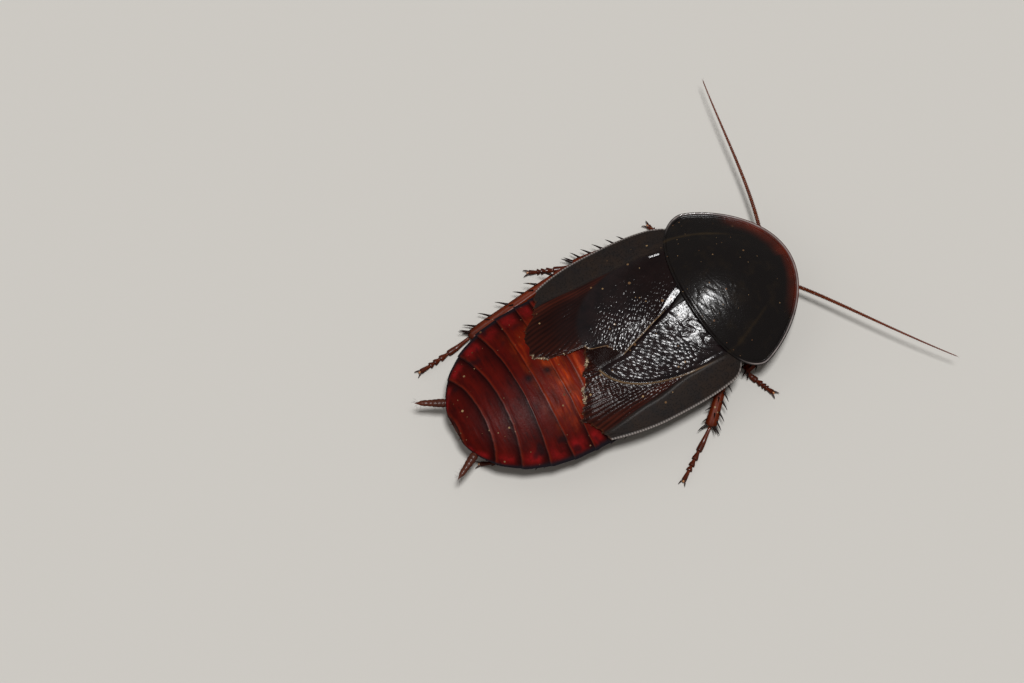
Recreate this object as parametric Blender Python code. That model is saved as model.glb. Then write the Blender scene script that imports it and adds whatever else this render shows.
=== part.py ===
"""Neorhicnoda maronensis, a ground cockroach: a worn-winged adult male, life size, standing on its six feet.

All sizes are millimetres in the body's own frame: x to the animal's left, y backwards from the front rim of
the head shield, z up from the floor. The finished nodes are in metres, with the floor at z = 0 and the origin
under the middle of the whole animal, feelers and feet included. The head faces -Y.
"""

import math
import random

import bmesh
import bpy
from mathutils import Matrix, Vector
from mathutils.geometry import interpolate_bezier

MM = 0.001
GAP = 0.3
PLATE = 0.5

# Head shield (pronotum)
SHIELD_LENGTH = 8.15
SHIELD_HALF_WIDTH = 5.75
SHIELD_WIDEST_Y = 5.3
SHIELD_RIM_Z = 2.95
SHIELD_DOME = 3.05
SHIELD_DOME_FULL_Y = 5.5
SHIELD_FRONT_SQUARENESS = 1.3
SHIELD_FLANK_STEEPNESS = 1.2
SHIELD_CENTRE_Y = 4.6
SHIELD_RIM_POINTS = 40
SHIELD_RINGS = (0.2, 0.42, 0.63, 0.82, 0.95, 1.0)

# Forewings (tegmina)
WING_HALF_WIDTH = 6.3
WING_WIDEST_Y = 12.3
WING_SHOULDER_Y = 6.2
WING_REAR_Y = 16.0
WING_EDGE_Z = 3.1
WING_CROWN = 2.45
WING_CROWN_FALL = 0.07
WING_CROWN_FULL_Y = 9.5
WING_ARCH = 0.9
WING_SHOULDER_TAPER = 0.14
WING_REAR_TAPER = 0.08
WING_COLUMNS = 15
WING_ROWS = 12
SEAM_START = (0.3, 8.2)
SEAM_SLOPE = -0.33
SEAM_END_Y = 13.35
RIGHT_INNER_X = 0.75
LEFT_LIFT = 0.32
RIGHT_DIP = 0.58
WING_TUCK = 0.7
# Worn rear edges as (share of the way from the inner to the outer edge, y).
LEFT_WORN_END = (
    (0.0, 13.35), (0.13, 13.95), (0.23, 15.3), (0.28, 16.7), (0.36, 18.0), (0.5, 18.65),
    (0.68, 18.65), (0.74, 18.1), (0.82, 16.9), (0.93, 16.4), (1.0, 16.0),
)
RIGHT_WORN_END = (
    (0.0, 15.2), (0.19, 15.65), (0.33, 16.45), (0.51, 16.9), (0.7, 17.5), (0.77, 17.8),
    (0.81, 17.3), (0.91, 16.85), (1.0, 16.6),
)
# The anal field is bounded by a furrow, part of an oval about the wing's root; the veins fan out beyond it.
ANAL_FIELD_Y = 7.5
ANAL_FIELD_HALF_WIDTH = 4.4
ANAL_FIELD_LENGTH = 7.75
ANAL_FIELD_SQUARENESS = 2.6
FURROW_DEPTH = 0.16
FURROW_WIDTH = 0.14
VEIN_HEIGHT = 0.14
VEIN_COLUMNS = (6, 8, 10)
COSTAL_VEIN_COLUMN = 12

# Abdomen
ABDOMEN_FRONT_Y = 10.3
ABDOMEN_HALF_WIDTH = 5.6
ABDOMEN_WIDEST_Y = 17.0
ABDOMEN_TAIL_REACH = 8.2
ABDOMEN_TAIL_SQUARENESS = 2.4
ABDOMEN_FRONT_TAPER = 0.02
ABDOMEN_BACK_Z = 3.35
ABDOMEN_BELLY_Z = 2.45
ABDOMEN_EDGE_Z = 2.35
ABDOMEN_EDGE_THICKNESS = 0.3
ABDOMEN_BARE_Y = 17.5
TERGITE_STEP = 0.2
# Rear edge of each back plate as (y on the midline, how much further back it lies at the sides).
TERGITES = (
    (12.7, 0.0), (14.35, 0.0), (16.05, 0.0), (17.65, 0.0),
    (19.2, 0.05), (20.3, 0.55), (21.8, 0.8), (23.3, 0.7),
)
TAIL_PLATE_Y = 24.75
TAIL_TIP_Y = 25.25

# Thorax
THORAX_FRONT_Y = 3.75
THORAX_REAR_Y = 10.0
THORAX_BOTTOM_Z = 2.25
THORAX_HALF_WIDTH = 3.4
THORAX_WIDENING = 0.17
THORAX_LEAST_DEPTH = 0.55
THORAX_RINGS = 9

# Head, from crown to mouth
HEAD_CROWN = (0.0, 1.6, 3.0)
HEAD_MOUTH = (0.0, 3.4, 0.75)
# (share of the way from crown to mouth, half width, half thickness)
HEAD_RINGS = (
    (0.0, 0.45, 0.3), (0.08, 0.95, 0.55), (0.24, 1.12, 0.72), (0.42, 1.2, 0.75), (0.6, 1.32, 0.7),
    (0.76, 1.1, 0.6), (0.9, 0.75, 0.45), (1.0, 0.45, 0.28),
)
PALP_THICKNESS = 0.5
PALP_BEND = ((0.75, 2.75, 1.15), (1.5, 1.9, 0.95), (1.75, 1.6, 0.7), (1.35, 1.15, 0.55))
PALP_POINTS = 8
PALP_TAPER = 0.2
EYE_CENTRE = (1.46, 2.1, 2.25)
EYE_SIZE = (0.52, 0.5, 0.9)
EYE_FLAT_X = 1.56
EYE_TILT = math.radians(35)

# Feelers, each a smooth arc from its socket to its tip: (socket, pull at the socket, pull at the tip, tip)
FEELER_THICKNESS = 0.52
FEELER_TIP_THICKNESS = 0.3
SCAPE_THICKNESS = 0.7
FEELER_POINTS = 22
FEELERS = {
    "left": ((0.85, 1.25, 1.65), (4.0, 0.1, 1.9), (9.5, -0.3, 2.5), (13.85, -1.15, 1.9)),
    "right": ((-0.85, 1.25, 1.65), (-2.9, -0.35, 1.9), (-6.8, -3.2, 2.5), (-11.15, -6.4, 1.9)),
}

# Cerci
CERCUS_ROOT = (2.2, 25.0, 2.35)
CERCUS_TIP = (3.0, 26.6, 2.3)
CERCUS_THICKNESS = 0.6
# (share of its length, share of its thickness)
CERCUS_SWELL = ((0.0, 0.7), (0.15, 1.0), (0.45, 0.9), (0.75, 0.65), (1.0, 0.3))

# Legs: hip, end of the coxa, start of the femur, knee, ankle and toe of each, along its middle line.
LEGS = {
    "front_left": (
        (2.3, 3.5, 1.72), (0.85, 4.9, 1.35), (1.15, 6.0, 1.25),
        (4.7, 4.2, 1.75), (5.3, 5.95, 0.55), (7.0, 6.75, 0.3),
    ),
    "front_right": (
        (-2.3, 3.5, 1.72), (-0.85, 4.9, 1.35), (-1.15, 6.0, 1.25),
        (-4.7, 4.2, 1.75), (-4.95, 6.1, 0.55), (-7.1, 5.2, 0.3),
    ),
    "mid_left": (
        (3.3, 6.4, 1.72), (0.95, 8.05, 1.35), (1.15, 8.9, 1.2),
        (6.1, 8.4, 1.75), (6.9, 12.6, 0.55), (7.95, 15.3, 0.3),
    ),
    "mid_right": (
        (-3.2, 6.3, 1.72), (-0.95, 8.05, 1.35), (-1.15, 9.1, 1.2),
        (-4.95, 7.75, 1.75), (-7.3, 10.05, 0.55), (-9.6, 13.3, 0.3),
    ),
    "hind_left": (
        (3.5, 10.2, 1.7), (0.95, 11.7, 1.3), (1.15, 12.6, 1.15),
        (6.5, 13.3, 1.65), (5.75, 21.0, 0.55), (5.3, 24.9, 0.3),
    ),
    "hind_right": (
        (-3.5, 10.2, 1.7), (-0.95, 11.7, 1.3), (-1.15, 12.6, 1.15),
        (-5.0, 13.9, 1.5), (-3.6, 21.0, 0.55), (-2.2, 24.5, 0.3),
    ),
}
LIMB_SHARES = (0.0, 0.12, 0.35, 0.65, 0.88, 1.0)
COXA_SWELL = (0.6, 0.85, 1.0, 0.95, 0.7, 0.4)
FEMUR_SWELL = (0.5, 0.8, 1.0, 0.9, 0.7, 0.55)
COXA_HALF = {"front": (0.55, 0.36), "mid": (0.66, 0.38), "hind": (0.8, 0.38)}
FEMUR_HALF = {"front": (0.52, 0.4), "mid": (0.56, 0.4), "hind": (0.64, 0.4)}
TIBIA_HALF = {"front": 0.3, "mid": 0.33, "hind": 0.35}
TARSUS_HALF = 0.29
KNEE_SETBACK = {"front": 0.6, "mid": 0.45, "hind": 0.45}
ANKLE_SETBACK = {"front": 0.46, "mid": 0.2, "hind": 0.2}
SPINE_THICKNESS = 0.42
SPINE_TIP_THICKNESS = 0.1
SPINE_LENGTH = {"front": 0.75, "mid": 0.95, "hind": 1.1}
SPINE_LEAN = math.radians(42)
# Rows of tibia spines: turn about the tibia from straight outwards, how many, share of full length, and the
# share of the tibia at which the last one stands.
SPINE_ROWS = {
    "front": ((20, 2, 0.8, 0.34), (165, 3, 0.7, 0.8)),
    "mid": ((15, 5, 1.0, 0.82), (-30, 3, 0.75, 0.8), (175, 3, 0.7, 0.8)),
    "hind": ((15, 6, 1.0, 0.82), (-30, 5, 0.75, 0.84), (185, 4, 0.55, 0.8)),
}
FIRST_SPINE = 0.14
END_SPINES = {
    "front": ((150, 0.8), (200, 0.7)),
    "mid": ((30, 0.9), (150, 0.8), (-20, 0.7), (200, 0.7)),
    "hind": ((30, 0.9), (150, 0.8), (-20, 0.7), (200, 0.7)),
}
# Foot joints as shares of the foot, and each joint's swell as (share of the joint, share of the thickness).
FOOT_JOINTS = (0.0, 0.42, 0.58, 0.7, 0.8, 1.0)
FOOT_SWELL = ((0.04, 0.72), (0.5, 0.9), (0.9, 1.08))
CLAW_LENGTH = 0.75
CLAW_THICKNESS = 0.34
CLAW_TIP_THICKNESS = 0.12
SEED = 11

# Colours (linear), roughness
BLACK_SHELL = ((0.013, 0.009, 0.008), 0.28)
BLACK_WING = ((0.02, 0.014, 0.013), 0.42)
MAROON = ((0.12, 0.011, 0.008), 0.3)
MAHOGANY = ((0.17, 0.03, 0.012), 0.25)
RED_BROWN = ((0.26, 0.07, 0.025), 0.35)
AMBER = ((0.42, 0.15, 0.045), 0.4)
DARK_HEAD = ((0.05, 0.018, 0.012), 0.3)
EYE_BLACK = ((0.006, 0.005, 0.005), 0.12)


def clamp01(value):
    return max(0.0, min(1.0, value))


def ease(value, start, end):
    """0 before start, 1 after end, smooth between; start may be the larger."""
    t = clamp01((value - start) / (end - start))
    return t * t * (3 - 2 * t)


def read_curve(points, at):
    """The height of a run of straight lines through (place, height) points."""
    for (x0, y0), (x1, y1) in zip(points, points[1:]):
        if at <= x1:
            return y0 + (y1 - y0) * (at - x0) / (x1 - x0)
    return points[-1][1]


# Shapes


def shield_half_width(y):
    """Half the shield's width at y: a blunt arch in front, an ellipse behind its widest place."""
    if y < SHIELD_WIDEST_Y:
        ahead = clamp01((SHIELD_WIDEST_Y - y) / SHIELD_WIDEST_Y)
        return SHIELD_HALF_WIDTH * math.sqrt(1 - ahead**SHIELD_FRONT_SQUARENESS)
    behind = clamp01((y - SHIELD_WIDEST_Y) / (SHIELD_LENGTH - SHIELD_WIDEST_Y))
    return SHIELD_HALF_WIDTH * math.sqrt(1 - behind**2)


def shield_rear_y(x, grown=0.0):
    """The shield's rear margin, or a line that lies outside it by a margin."""
    reach = SHIELD_LENGTH - SHIELD_WIDEST_Y + grown
    return SHIELD_WIDEST_Y + reach * math.sqrt(1 - clamp01(abs(x) / (SHIELD_HALF_WIDTH + grown)) ** 2)


def shield_top(x, y):
    """The dome: low at the front and side rims, high along the middle of the rear margin."""
    half = shield_half_width(y) if y < SHIELD_WIDEST_Y else SHIELD_HALF_WIDTH
    across = clamp01(abs(x) / half) if half > 0 else 0.0
    along = math.sin(math.pi / 2 * clamp01(y / SHIELD_DOME_FULL_Y)) ** 0.9
    return SHIELD_RIM_Z + SHIELD_DOME * along * (1 - across**2) ** SHIELD_FLANK_STEEPNESS


def wing_outer_x(y):
    """The outer (costal) edge of a forewing, as a distance from the midline."""
    if y < WING_WIDEST_Y:
        ahead = (WING_WIDEST_Y - y) / (WING_WIDEST_Y - WING_SHOULDER_Y)
        return WING_HALF_WIDTH * (1 - WING_SHOULDER_TAPER * ahead**3)
    behind = (y - WING_WIDEST_Y) / (WING_REAR_Y - WING_WIDEST_Y)
    return WING_HALF_WIDTH * (1 - WING_REAR_TAPER * behind**2)


def seam_x(y):
    """The left wing's inner edge, which runs over to the animal's right as it goes back."""
    return SEAM_START[0] + SEAM_SLOPE * (min(y, SEAM_END_Y) - SEAM_START[1])


def right_dip(x, y):
    """How far the right wing dips to pass under the left one's inner edge."""
    edge = seam_x(y) + max(0.0, y - SEAM_END_Y)
    return RIGHT_DIP * ease(x, edge - 1.8, edge - 0.2)


def wing_tuck(x, y):
    """How far the wing bases are pressed down so that they pass under the shield's rear margin."""
    rear = shield_rear_y(x)
    crest = wing_dome(x, y) + LEFT_LIFT * ease(abs(x), 3.0, 1.0)
    ceiling = shield_top(x, rear) - 1.3 * PLATE - GAP
    return max(0.0, crest - ceiling) * ease(abs(x), 4.6, 3.4) * ease(y, rear + 1.5, rear + 0.3)


def wing_dome(x, y):
    across = clamp01(abs(x) / wing_outer_x(y))
    crown = WING_CROWN - WING_CROWN_FALL * max(0.0, y - WING_CROWN_FULL_Y)
    return WING_EDGE_Z + crown * (1 - across**2) ** WING_ARCH


def wing_relief(x, y):
    """Depth of the furrow round the anal field, and how far outside that field a place is (0 to 1)."""
    across = (abs(x) / ANAL_FIELD_HALF_WIDTH) ** ANAL_FIELD_SQUARENESS
    along = (max(0.0, y - ANAL_FIELD_Y) / ANAL_FIELD_LENGTH) ** ANAL_FIELD_SQUARENESS
    oval = across + along
    return FURROW_DEPTH * math.exp(-(((oval - 1) / FURROW_WIDTH) ** 2)), ease(oval, 1.0, 1.3)


def body_ceiling(x, y):
    """The highest that flesh may reach under the shield and the wings."""
    under_shield = shield_top(x, min(y, shield_rear_y(x))) - 1.3 * PLATE - 1.4 * GAP
    if y < shield_rear_y(x) - WING_TUCK - 2 * GAP:
        return under_shield
    under_wings = wing_dome(x, y) - wing_tuck(x, y) - right_dip(x, y) - 1.15 * PLATE - 1.7 * GAP
    return min(under_shield, under_wings) if y < shield_rear_y(x) + GAP else under_wings


def abdomen_half_width(y):
    if y < ABDOMEN_WIDEST_Y:
        return ABDOMEN_HALF_WIDTH - ABDOMEN_FRONT_TAPER * (ABDOMEN_WIDEST_Y - y) ** 2
    behind = clamp01((y - ABDOMEN_WIDEST_Y) / ABDOMEN_TAIL_REACH)
    return ABDOMEN_HALF_WIDTH * math.sqrt(1 - behind**ABDOMEN_TAIL_SQUARENESS)


def abdomen_top(share, y):
    """Height of the back at a share (0 to 1) of the way out from the midline."""
    middle = ABDOMEN_BACK_Z + 0.25 * ease(y, 14.0, 18.0) - 0.5 * ease(y, 19.5, 25.5)
    return ABDOMEN_EDGE_Z + (middle - ABDOMEN_EDGE_Z) * (1 - share**2.1)


def abdomen_bottom(share, y):
    middle = ABDOMEN_BELLY_Z - 0.6 * ease(y, 13.0, 17.0) + 0.35 * ease(y, 20.5, 25.0)
    return middle + (ABDOMEN_EDGE_Z - middle) * share**3


# Meshes


def closed_skin(rings):
    """A closed body through rings of equally many points, capped at both ends."""
    bm = bmesh.new()
    loops = [[bm.verts.new(point) for point in ring] for ring in rings]
    for front, back in zip(loops, loops[1:]):
        for i in range(len(front)):
            j = (i + 1) % len(front)
            bm.faces.new((front[i], front[j], back[j], back[i]))
    bm.faces.new(loops[0])
    bm.faces.new(loops[-1])
    bmesh.ops.triangulate(bm, faces=bm.faces[:])
    bmesh.ops.recalc_face_normals(bm, faces=bm.faces[:])
    return bm


def tube(path, halves, sides, up=Vector((0, 0, 1)), floor=None):
    """A closed limb along a path. halves gives each point's half width and half height. Points that would
    pass below the floor are set on it, which leaves a small flat there."""
    rings = []
    for i, centre in enumerate(path):
        ahead = (path[min(i + 1, len(path) - 1)] - path[max(i - 1, 0)]).normalized()
        side = ahead.cross(up).normalized()
        lift = side.cross(ahead)
        ring = []
        for k in range(sides):
            turn = 2 * math.pi * (k + 0.5) / sides
            point = centre + side * halves[i][0] * math.cos(turn) + lift * halves[i][1] * math.sin(turn)
            if floor is not None and point.z < floor + 0.05:
                point.z = floor
            ring.append(point)
        rings.append(ring)
    return closed_skin(rings)


def plate_from_sheet(bm, wall):
    """Gives an open sheet its wall, inwards from its upper side, with both faces split alike."""
    bmesh.ops.triangulate(bm, faces=bm.faces[:])
    bmesh.ops.recalc_face_normals(bm, faces=bm.faces[:])
    if sum(face.normal.z for face in bm.faces) < 0:
        bmesh.ops.reverse_faces(bm, faces=bm.faces[:])
    bm.normal_update()
    inwards = [vert.normal.copy() for vert in bm.verts]
    grown = bmesh.ops.extrude_face_region(bm, geom=bm.faces[:])
    lower = [item for item in grown["geom"] if isinstance(item, bmesh.types.BMVert)]
    for vert, normal in zip(lower, inwards):
        vert.co -= normal * wall
    bmesh.ops.recalc_face_normals(bm, faces=bm.faces[:])
    return bm


def smooth_path(points, count):
    """Points along one cubic arc."""
    return interpolate_bezier(*[Vector(p) for p in points], count)


def spine(root, direction, length, thickness, tip_thickness):
    """A tapered spine of five sides whose root reaches back inside what carries it."""
    bm = bmesh.new()
    sunk = 0.6 * thickness
    bmesh.ops.create_cone(
        bm, cap_ends=True, segments=5, radius1=thickness / 2, radius2=tip_thickness / 2, depth=length + sunk
    )
    bmesh.ops.translate(bm, verts=bm.verts[:], vec=(0, 0, (length + sunk) / 2 - sunk))
    turn = direction.normalized().to_track_quat("Z", "Y").to_matrix().to_4x4()
    bmesh.ops.transform(bm, matrix=Matrix.Translation(root) @ turn, verts=bm.verts[:])
    return bm


def mesh_of(bm, name):
    mesh = bpy.data.meshes.new(name)
    bm.to_mesh(mesh)
    bm.free()
    return mesh


def keep_largest(mesh):
    """Drops every closed surface but the largest."""
    bm = bmesh.new()
    bm.from_mesh(mesh)
    left = set(bm.faces)
    islands = []
    while left:
        island = {left.pop()}
        edge_of = list(island)
        while edge_of:
            face = edge_of.pop()
            for edge in face.edges:
                for other in edge.link_faces:
                    if other in left:
                        left.discard(other)
                        island.add(other)
                        edge_of.append(other)
        islands.append(island)
    islands.sort(key=lambda island: sum(face.calc_area() for face in island))
    spare = [face for island in islands[:-1] for face in island]
    bmesh.ops.delete(bm, geom=spare, context="FACES")
    bmesh.ops.triangulate(bm, faces=bm.faces[:])
    bm.to_mesh(mesh)
    bm.free()


def fused(core, pieces, name):
    """One closed mesh from a core and the pieces rooted in it, by one union."""
    holder = bpy.data.objects.new(name, mesh_of(core, name))
    bpy.context.scene.collection.objects.link(holder)
    group = bpy.data.collections.new(name + "_pieces")
    for piece in pieces:
        group.objects.link(bpy.data.objects.new(name + "_piece", mesh_of(piece, name + "_piece")))
    join = holder.modifiers.new("Join", "BOOLEAN")
    join.operation = "UNION"
    join.operand_type = "COLLECTION"
    join.collection = group
    join.solver = "MANIFOLD"
    graph = bpy.context.evaluated_depsgraph_get()
    mesh = bpy.data.meshes.new_from_object(holder.evaluated_get(graph))
    for piece in list(group.objects):
        bpy.data.objects.remove(piece)
    bpy.data.collections.remove(group)
    bpy.data.objects.remove(holder)
    keep_largest(mesh)
    return mesh


def material(name, look):
    colour, roughness = look
    made = bpy.data.materials.new(name)
    made.use_nodes = True
    shader = made.node_tree.nodes["Principled BSDF"]
    shader.inputs["Base Color"].default_value = (*colour, 1.0)
    shader.inputs["Roughness"].default_value = roughness
    shader.inputs["Metallic"].default_value = 0.0
    return made


def add_node(name, shape, look):
    """Makes a named object of a bmesh or a mesh, shaded smooth, with its own material."""
    mesh = mesh_of(shape, name) if isinstance(shape, bmesh.types.BMesh) else shape
    mesh.name = name
    mesh.shade_smooth()
    mesh.set_sharp_from_angle(angle=math.radians(40))
    mesh.materials.clear()
    mesh.materials.append(material(name, look))
    node = bpy.data.objects.new(name, mesh)
    bpy.context.scene.collection.objects.link(node)
    return node


# Parts of the animal


def build_shield():
    bm = bmesh.new()
    middle = Vector((0, SHIELD_CENTRE_Y, 0))
    half = SHIELD_RIM_POINTS // 2
    rim = []
    for k in range(SHIELD_RIM_POINTS):
        y = SHIELD_LENGTH * (1 - math.cos(math.pi * k / half)) / 2
        side = 1 if k < half else -1
        rim.append(Vector((side * shield_half_width(y), y, 0)))
    crown = bm.verts.new((0, SHIELD_CENTRE_Y, shield_top(0, SHIELD_CENTRE_Y)))
    inner = None
    for share in SHIELD_RINGS:
        places = [middle.lerp(point, share) for point in rim]
        ring = [bm.verts.new((p.x, p.y, shield_top(p.x, p.y))) for p in places]
        for i in range(SHIELD_RIM_POINTS):
            j = (i + 1) % SHIELD_RIM_POINTS
            if inner is None:
                bm.faces.new((crown, ring[i], ring[j]))
            else:
                bm.faces.new((inner[i], ring[i], ring[j], inner[j]))
        inner = ring
    add_node("pronotum", plate_from_sheet(bm, PLATE), BLACK_SHELL)


def wing_base_y(x):
    """The wings start under the shield near the midline and just behind it at the shoulders."""
    under = shield_rear_y(x) - WING_TUCK
    behind = shield_rear_y(x, 1.6 * GAP)
    return under + (behind - under) * ease(abs(x), 2.6, 3.4)


def build_wing(side):
    left = side == "left"
    sign = 1 if left else -1
    worn_end = LEFT_WORN_END if left else RIGHT_WORN_END

    def place(u, y):
        inner = seam_x(y) if left else -RIGHT_INNER_X
        return sign * (inner + (wing_outer_x(y) - inner) * u)

    bm = bmesh.new()
    grid = []
    for i in range(WING_COLUMNS + 1):
        u = i / WING_COLUMNS
        start = SHIELD_LENGTH
        for _ in range(6):
            start = wing_base_y(place(u, start))
        end = read_curve(worn_end, u)
        column = []
        for j in range(WING_ROWS + 1):
            v = j / WING_ROWS
            y = start + (end - start) * v
            x = place(u, y)
            if left:
                shift = LEFT_LIFT * ease(x, 3.0, 1.0)
            else:
                shift = -right_dip(x, y)
            furrow, outside = wing_relief(x, y)
            vein = 1.0 if i == COSTAL_VEIN_COLUMN else outside * (i in VEIN_COLUMNS)
            relief = VEIN_HEIGHT * vein * ease(v, 0.05, 0.2) - furrow
            column.append(bm.verts.new((x, y, wing_dome(x, y) - wing_tuck(x, y) + shift + relief)))
        grid.append(column)
    for a, b in zip(grid, grid[1:]):
        for j in range(WING_ROWS):
            bm.faces.new((a[j], b[j], b[j + 1], a[j + 1]))
    add_node("tegmen_" + side, plate_from_sheet(bm, PLATE), BLACK_WING)


def build_abdomen():
    """Back plates that each end in a raised rear edge over the next one, and a plain belly."""
    stations = [(ABDOMEN_FRONT_Y, 0.0, 0.0)]
    for y, sweep in TERGITES:
        stations.append((y, sweep, TERGITE_STEP))
        stations.append((y + 0.02, sweep, 0.0))
    stations.append((TAIL_PLATE_Y, 0.2, TERGITE_STEP))
    stations.append((TAIL_TIP_Y - 0.12, 0.0, 0.0))
    shares = [math.sin(math.pi / 2 * k / 6) for k in range(-6, 7)]
    rings = []
    for y_middle, sweep, step in stations:
        ring = []
        for share in shares:
            y = min(y_middle + sweep * share**2, TAIL_TIP_Y - 0.1)
            x = share * max(abdomen_half_width(y), 1.1)
            z = abdomen_top(abs(share), y) + step * (1 - 0.7 * share**2) + ABDOMEN_EDGE_THICKNESS / 2
            under_wing = wing_dome(x, min(y, WING_REAR_Y)) - right_dip(x, y) - 1.55 * PLATE - 1.3 * GAP
            z = min(z, under_wing + ease(y, ABDOMEN_BARE_Y - 1.0, ABDOMEN_BARE_Y + 1.5))
            ring.append(Vector((x, y, z)))
        for share in reversed(shares):
            y = min(y_middle + sweep * share**2, TAIL_TIP_Y - 0.1)
            x = share * max(abdomen_half_width(y), 1.1) * 0.985
            ring.append(Vector((x, y, abdomen_bottom(abs(share), y) - ABDOMEN_EDGE_THICKNESS / 2)))
        rings.append(ring)
    add_node("abdomen", closed_skin(rings), MAROON)


def build_thorax():
    rings = []
    for k in range(THORAX_RINGS + 1):
        y = THORAX_FRONT_Y + (THORAX_REAR_Y - THORAX_FRONT_Y) * k / THORAX_RINGS
        half = THORAX_HALF_WIDTH + THORAX_WIDENING * (y - THORAX_FRONT_Y)
        shares = [i / 5 for i in range(-5, 6)]
        ring = []
        for s in shares:
            top = max(body_ceiling(half * s, y), THORAX_BOTTOM_Z + THORAX_LEAST_DEPTH)
            ring.append(Vector((half * s, y, top)))
        for s in reversed(shares):
            ring.append(Vector((half * s * 0.97, y, THORAX_BOTTOM_Z + 0.25 * abs(s) ** 3)))
        rings.append(ring)
    add_node("thorax", closed_skin(rings), DARK_HEAD)


def build_head():
    crown, mouth = Vector(HEAD_CROWN), Vector(HEAD_MOUTH)
    path = [crown.lerp(mouth, share) for share, _, _ in HEAD_RINGS]
    skull = tube(path, [(w, t) for _, w, t in HEAD_RINGS], 14, up=Vector((0, -1, 0)))
    palps = []
    for sign in (1, -1):
        path = smooth_path([(sign * x, y, z) for x, y, z in PALP_BEND], PALP_POINTS)
        halves = []
        for i in range(PALP_POINTS):
            half = PALP_THICKNESS / 2 * (1 - PALP_TAPER * i / (PALP_POINTS - 1))
            halves.append((half, half))
        palps.append(tube(path, halves, 6))
    add_node("head", fused(skull, palps, "head"), DARK_HEAD)


def build_eye(side):
    sign = 1 if side == "left" else -1
    bm = bmesh.new()
    bmesh.ops.create_uvsphere(bm, u_segments=12, v_segments=8, radius=1.0)
    bmesh.ops.scale(bm, verts=bm.verts[:], vec=EYE_SIZE)
    bmesh.ops.rotate(bm, verts=bm.verts[:], cent=(0, 0, 0), matrix=Matrix.Rotation(EYE_TILT, 3, "X"))
    bmesh.ops.translate(bm, verts=bm.verts[:], vec=EYE_CENTRE)
    everything = bm.verts[:] + bm.edges[:] + bm.faces[:]
    cut = bmesh.ops.bisect_plane(
        bm, geom=everything, plane_co=(EYE_FLAT_X, 0, 0), plane_no=(1, 0, 0), clear_inner=True
    )
    bmesh.ops.contextual_create(bm, geom=[e for e in cut["geom_cut"] if isinstance(e, bmesh.types.BMEdge)])
    bmesh.ops.scale(bm, verts=bm.verts[:], vec=(sign, 1, 1))
    bmesh.ops.triangulate(bm, faces=bm.faces[:])
    bmesh.ops.recalc_face_normals(bm, faces=bm.faces[:])
    add_node("eye_" + side, bm, EYE_BLACK)


def build_feeler(side):
    path = smooth_path(FEELERS[side], FEELER_POINTS)
    halves = []
    for i in range(FEELER_POINTS):
        share = i / (FEELER_POINTS - 1)
        half = (FEELER_THICKNESS + (FEELER_TIP_THICKNESS - FEELER_THICKNESS) * share**2) / 2
        if i < 2:
            half = SCAPE_THICKNESS / 2
        halves.append((half, half))
    add_node("antenna_" + side, tube(path, halves, 6), AMBER)


def build_cercus(side):
    sign = 1 if side == "left" else -1
    root = Vector((sign * CERCUS_ROOT[0], *CERCUS_ROOT[1:]))
    tip = Vector((sign * CERCUS_TIP[0], *CERCUS_TIP[1:]))
    path = [root.lerp(tip, share) for share, _ in CERCUS_SWELL]
    halves = [(CERCUS_THICKNESS / 2 * s, CERCUS_THICKNESS / 2 * s * 0.8) for _, s in CERCUS_SWELL]
    add_node("cercus_" + side, tube(path, halves, 8), RED_BROWN)


def limb(start, end, half, shares, swell):
    """A spindle from start to end; half is (width, height) at its thickest."""
    return tube([start.lerp(end, s) for s in shares], [(half[0] * k, half[1] * k) for k in swell], 8)


def build_tibia(name, pair, start, end, rng):
    half = TIBIA_HALF[pair]
    core = limb(start, end, (half, half), (0.0, 0.1, 0.4, 0.75, 1.0), (0.7, 0.85, 0.95, 1.05, 1.15))
    ahead = (end - start).normalized()
    outward = ahead.cross(Vector((0, 0, 1))).normalized()
    if outward.x * start.x < 0:
        outward = -outward
    upward = (Vector((0, 0, 1)) - ahead * ahead.z).normalized()
    spines = []

    def add_spine(share, degrees, length):
        turn = math.radians(degrees + rng.uniform(-6, 6))
        radial = outward * math.cos(turn) + upward * math.sin(turn)
        point = start.lerp(end, share) + radial * half * 0.75
        direction = radial * math.cos(SPINE_LEAN) + ahead * math.sin(SPINE_LEAN)
        spines.append(spine(point, direction, length, SPINE_THICKNESS, SPINE_TIP_THICKNESS))

    full = SPINE_LENGTH[pair]
    for row, (degrees, count, scale, last) in enumerate(SPINE_ROWS[pair]):
        first = FIRST_SPINE + 0.04 * (row % 2)
        for k in range(count):
            share = first + (last - first) * k / (count - 1) + rng.uniform(-0.015, 0.015)
            add_spine(share, degrees, full * scale * rng.uniform(0.9, 1.1))
    for degrees, scale in END_SPINES[pair]:
        add_spine(0.95, degrees, full * scale * rng.uniform(0.95, 1.05))
    add_node("tibia_" + name, fused(core, spines, "tibia_" + name), MAHOGANY)


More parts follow.
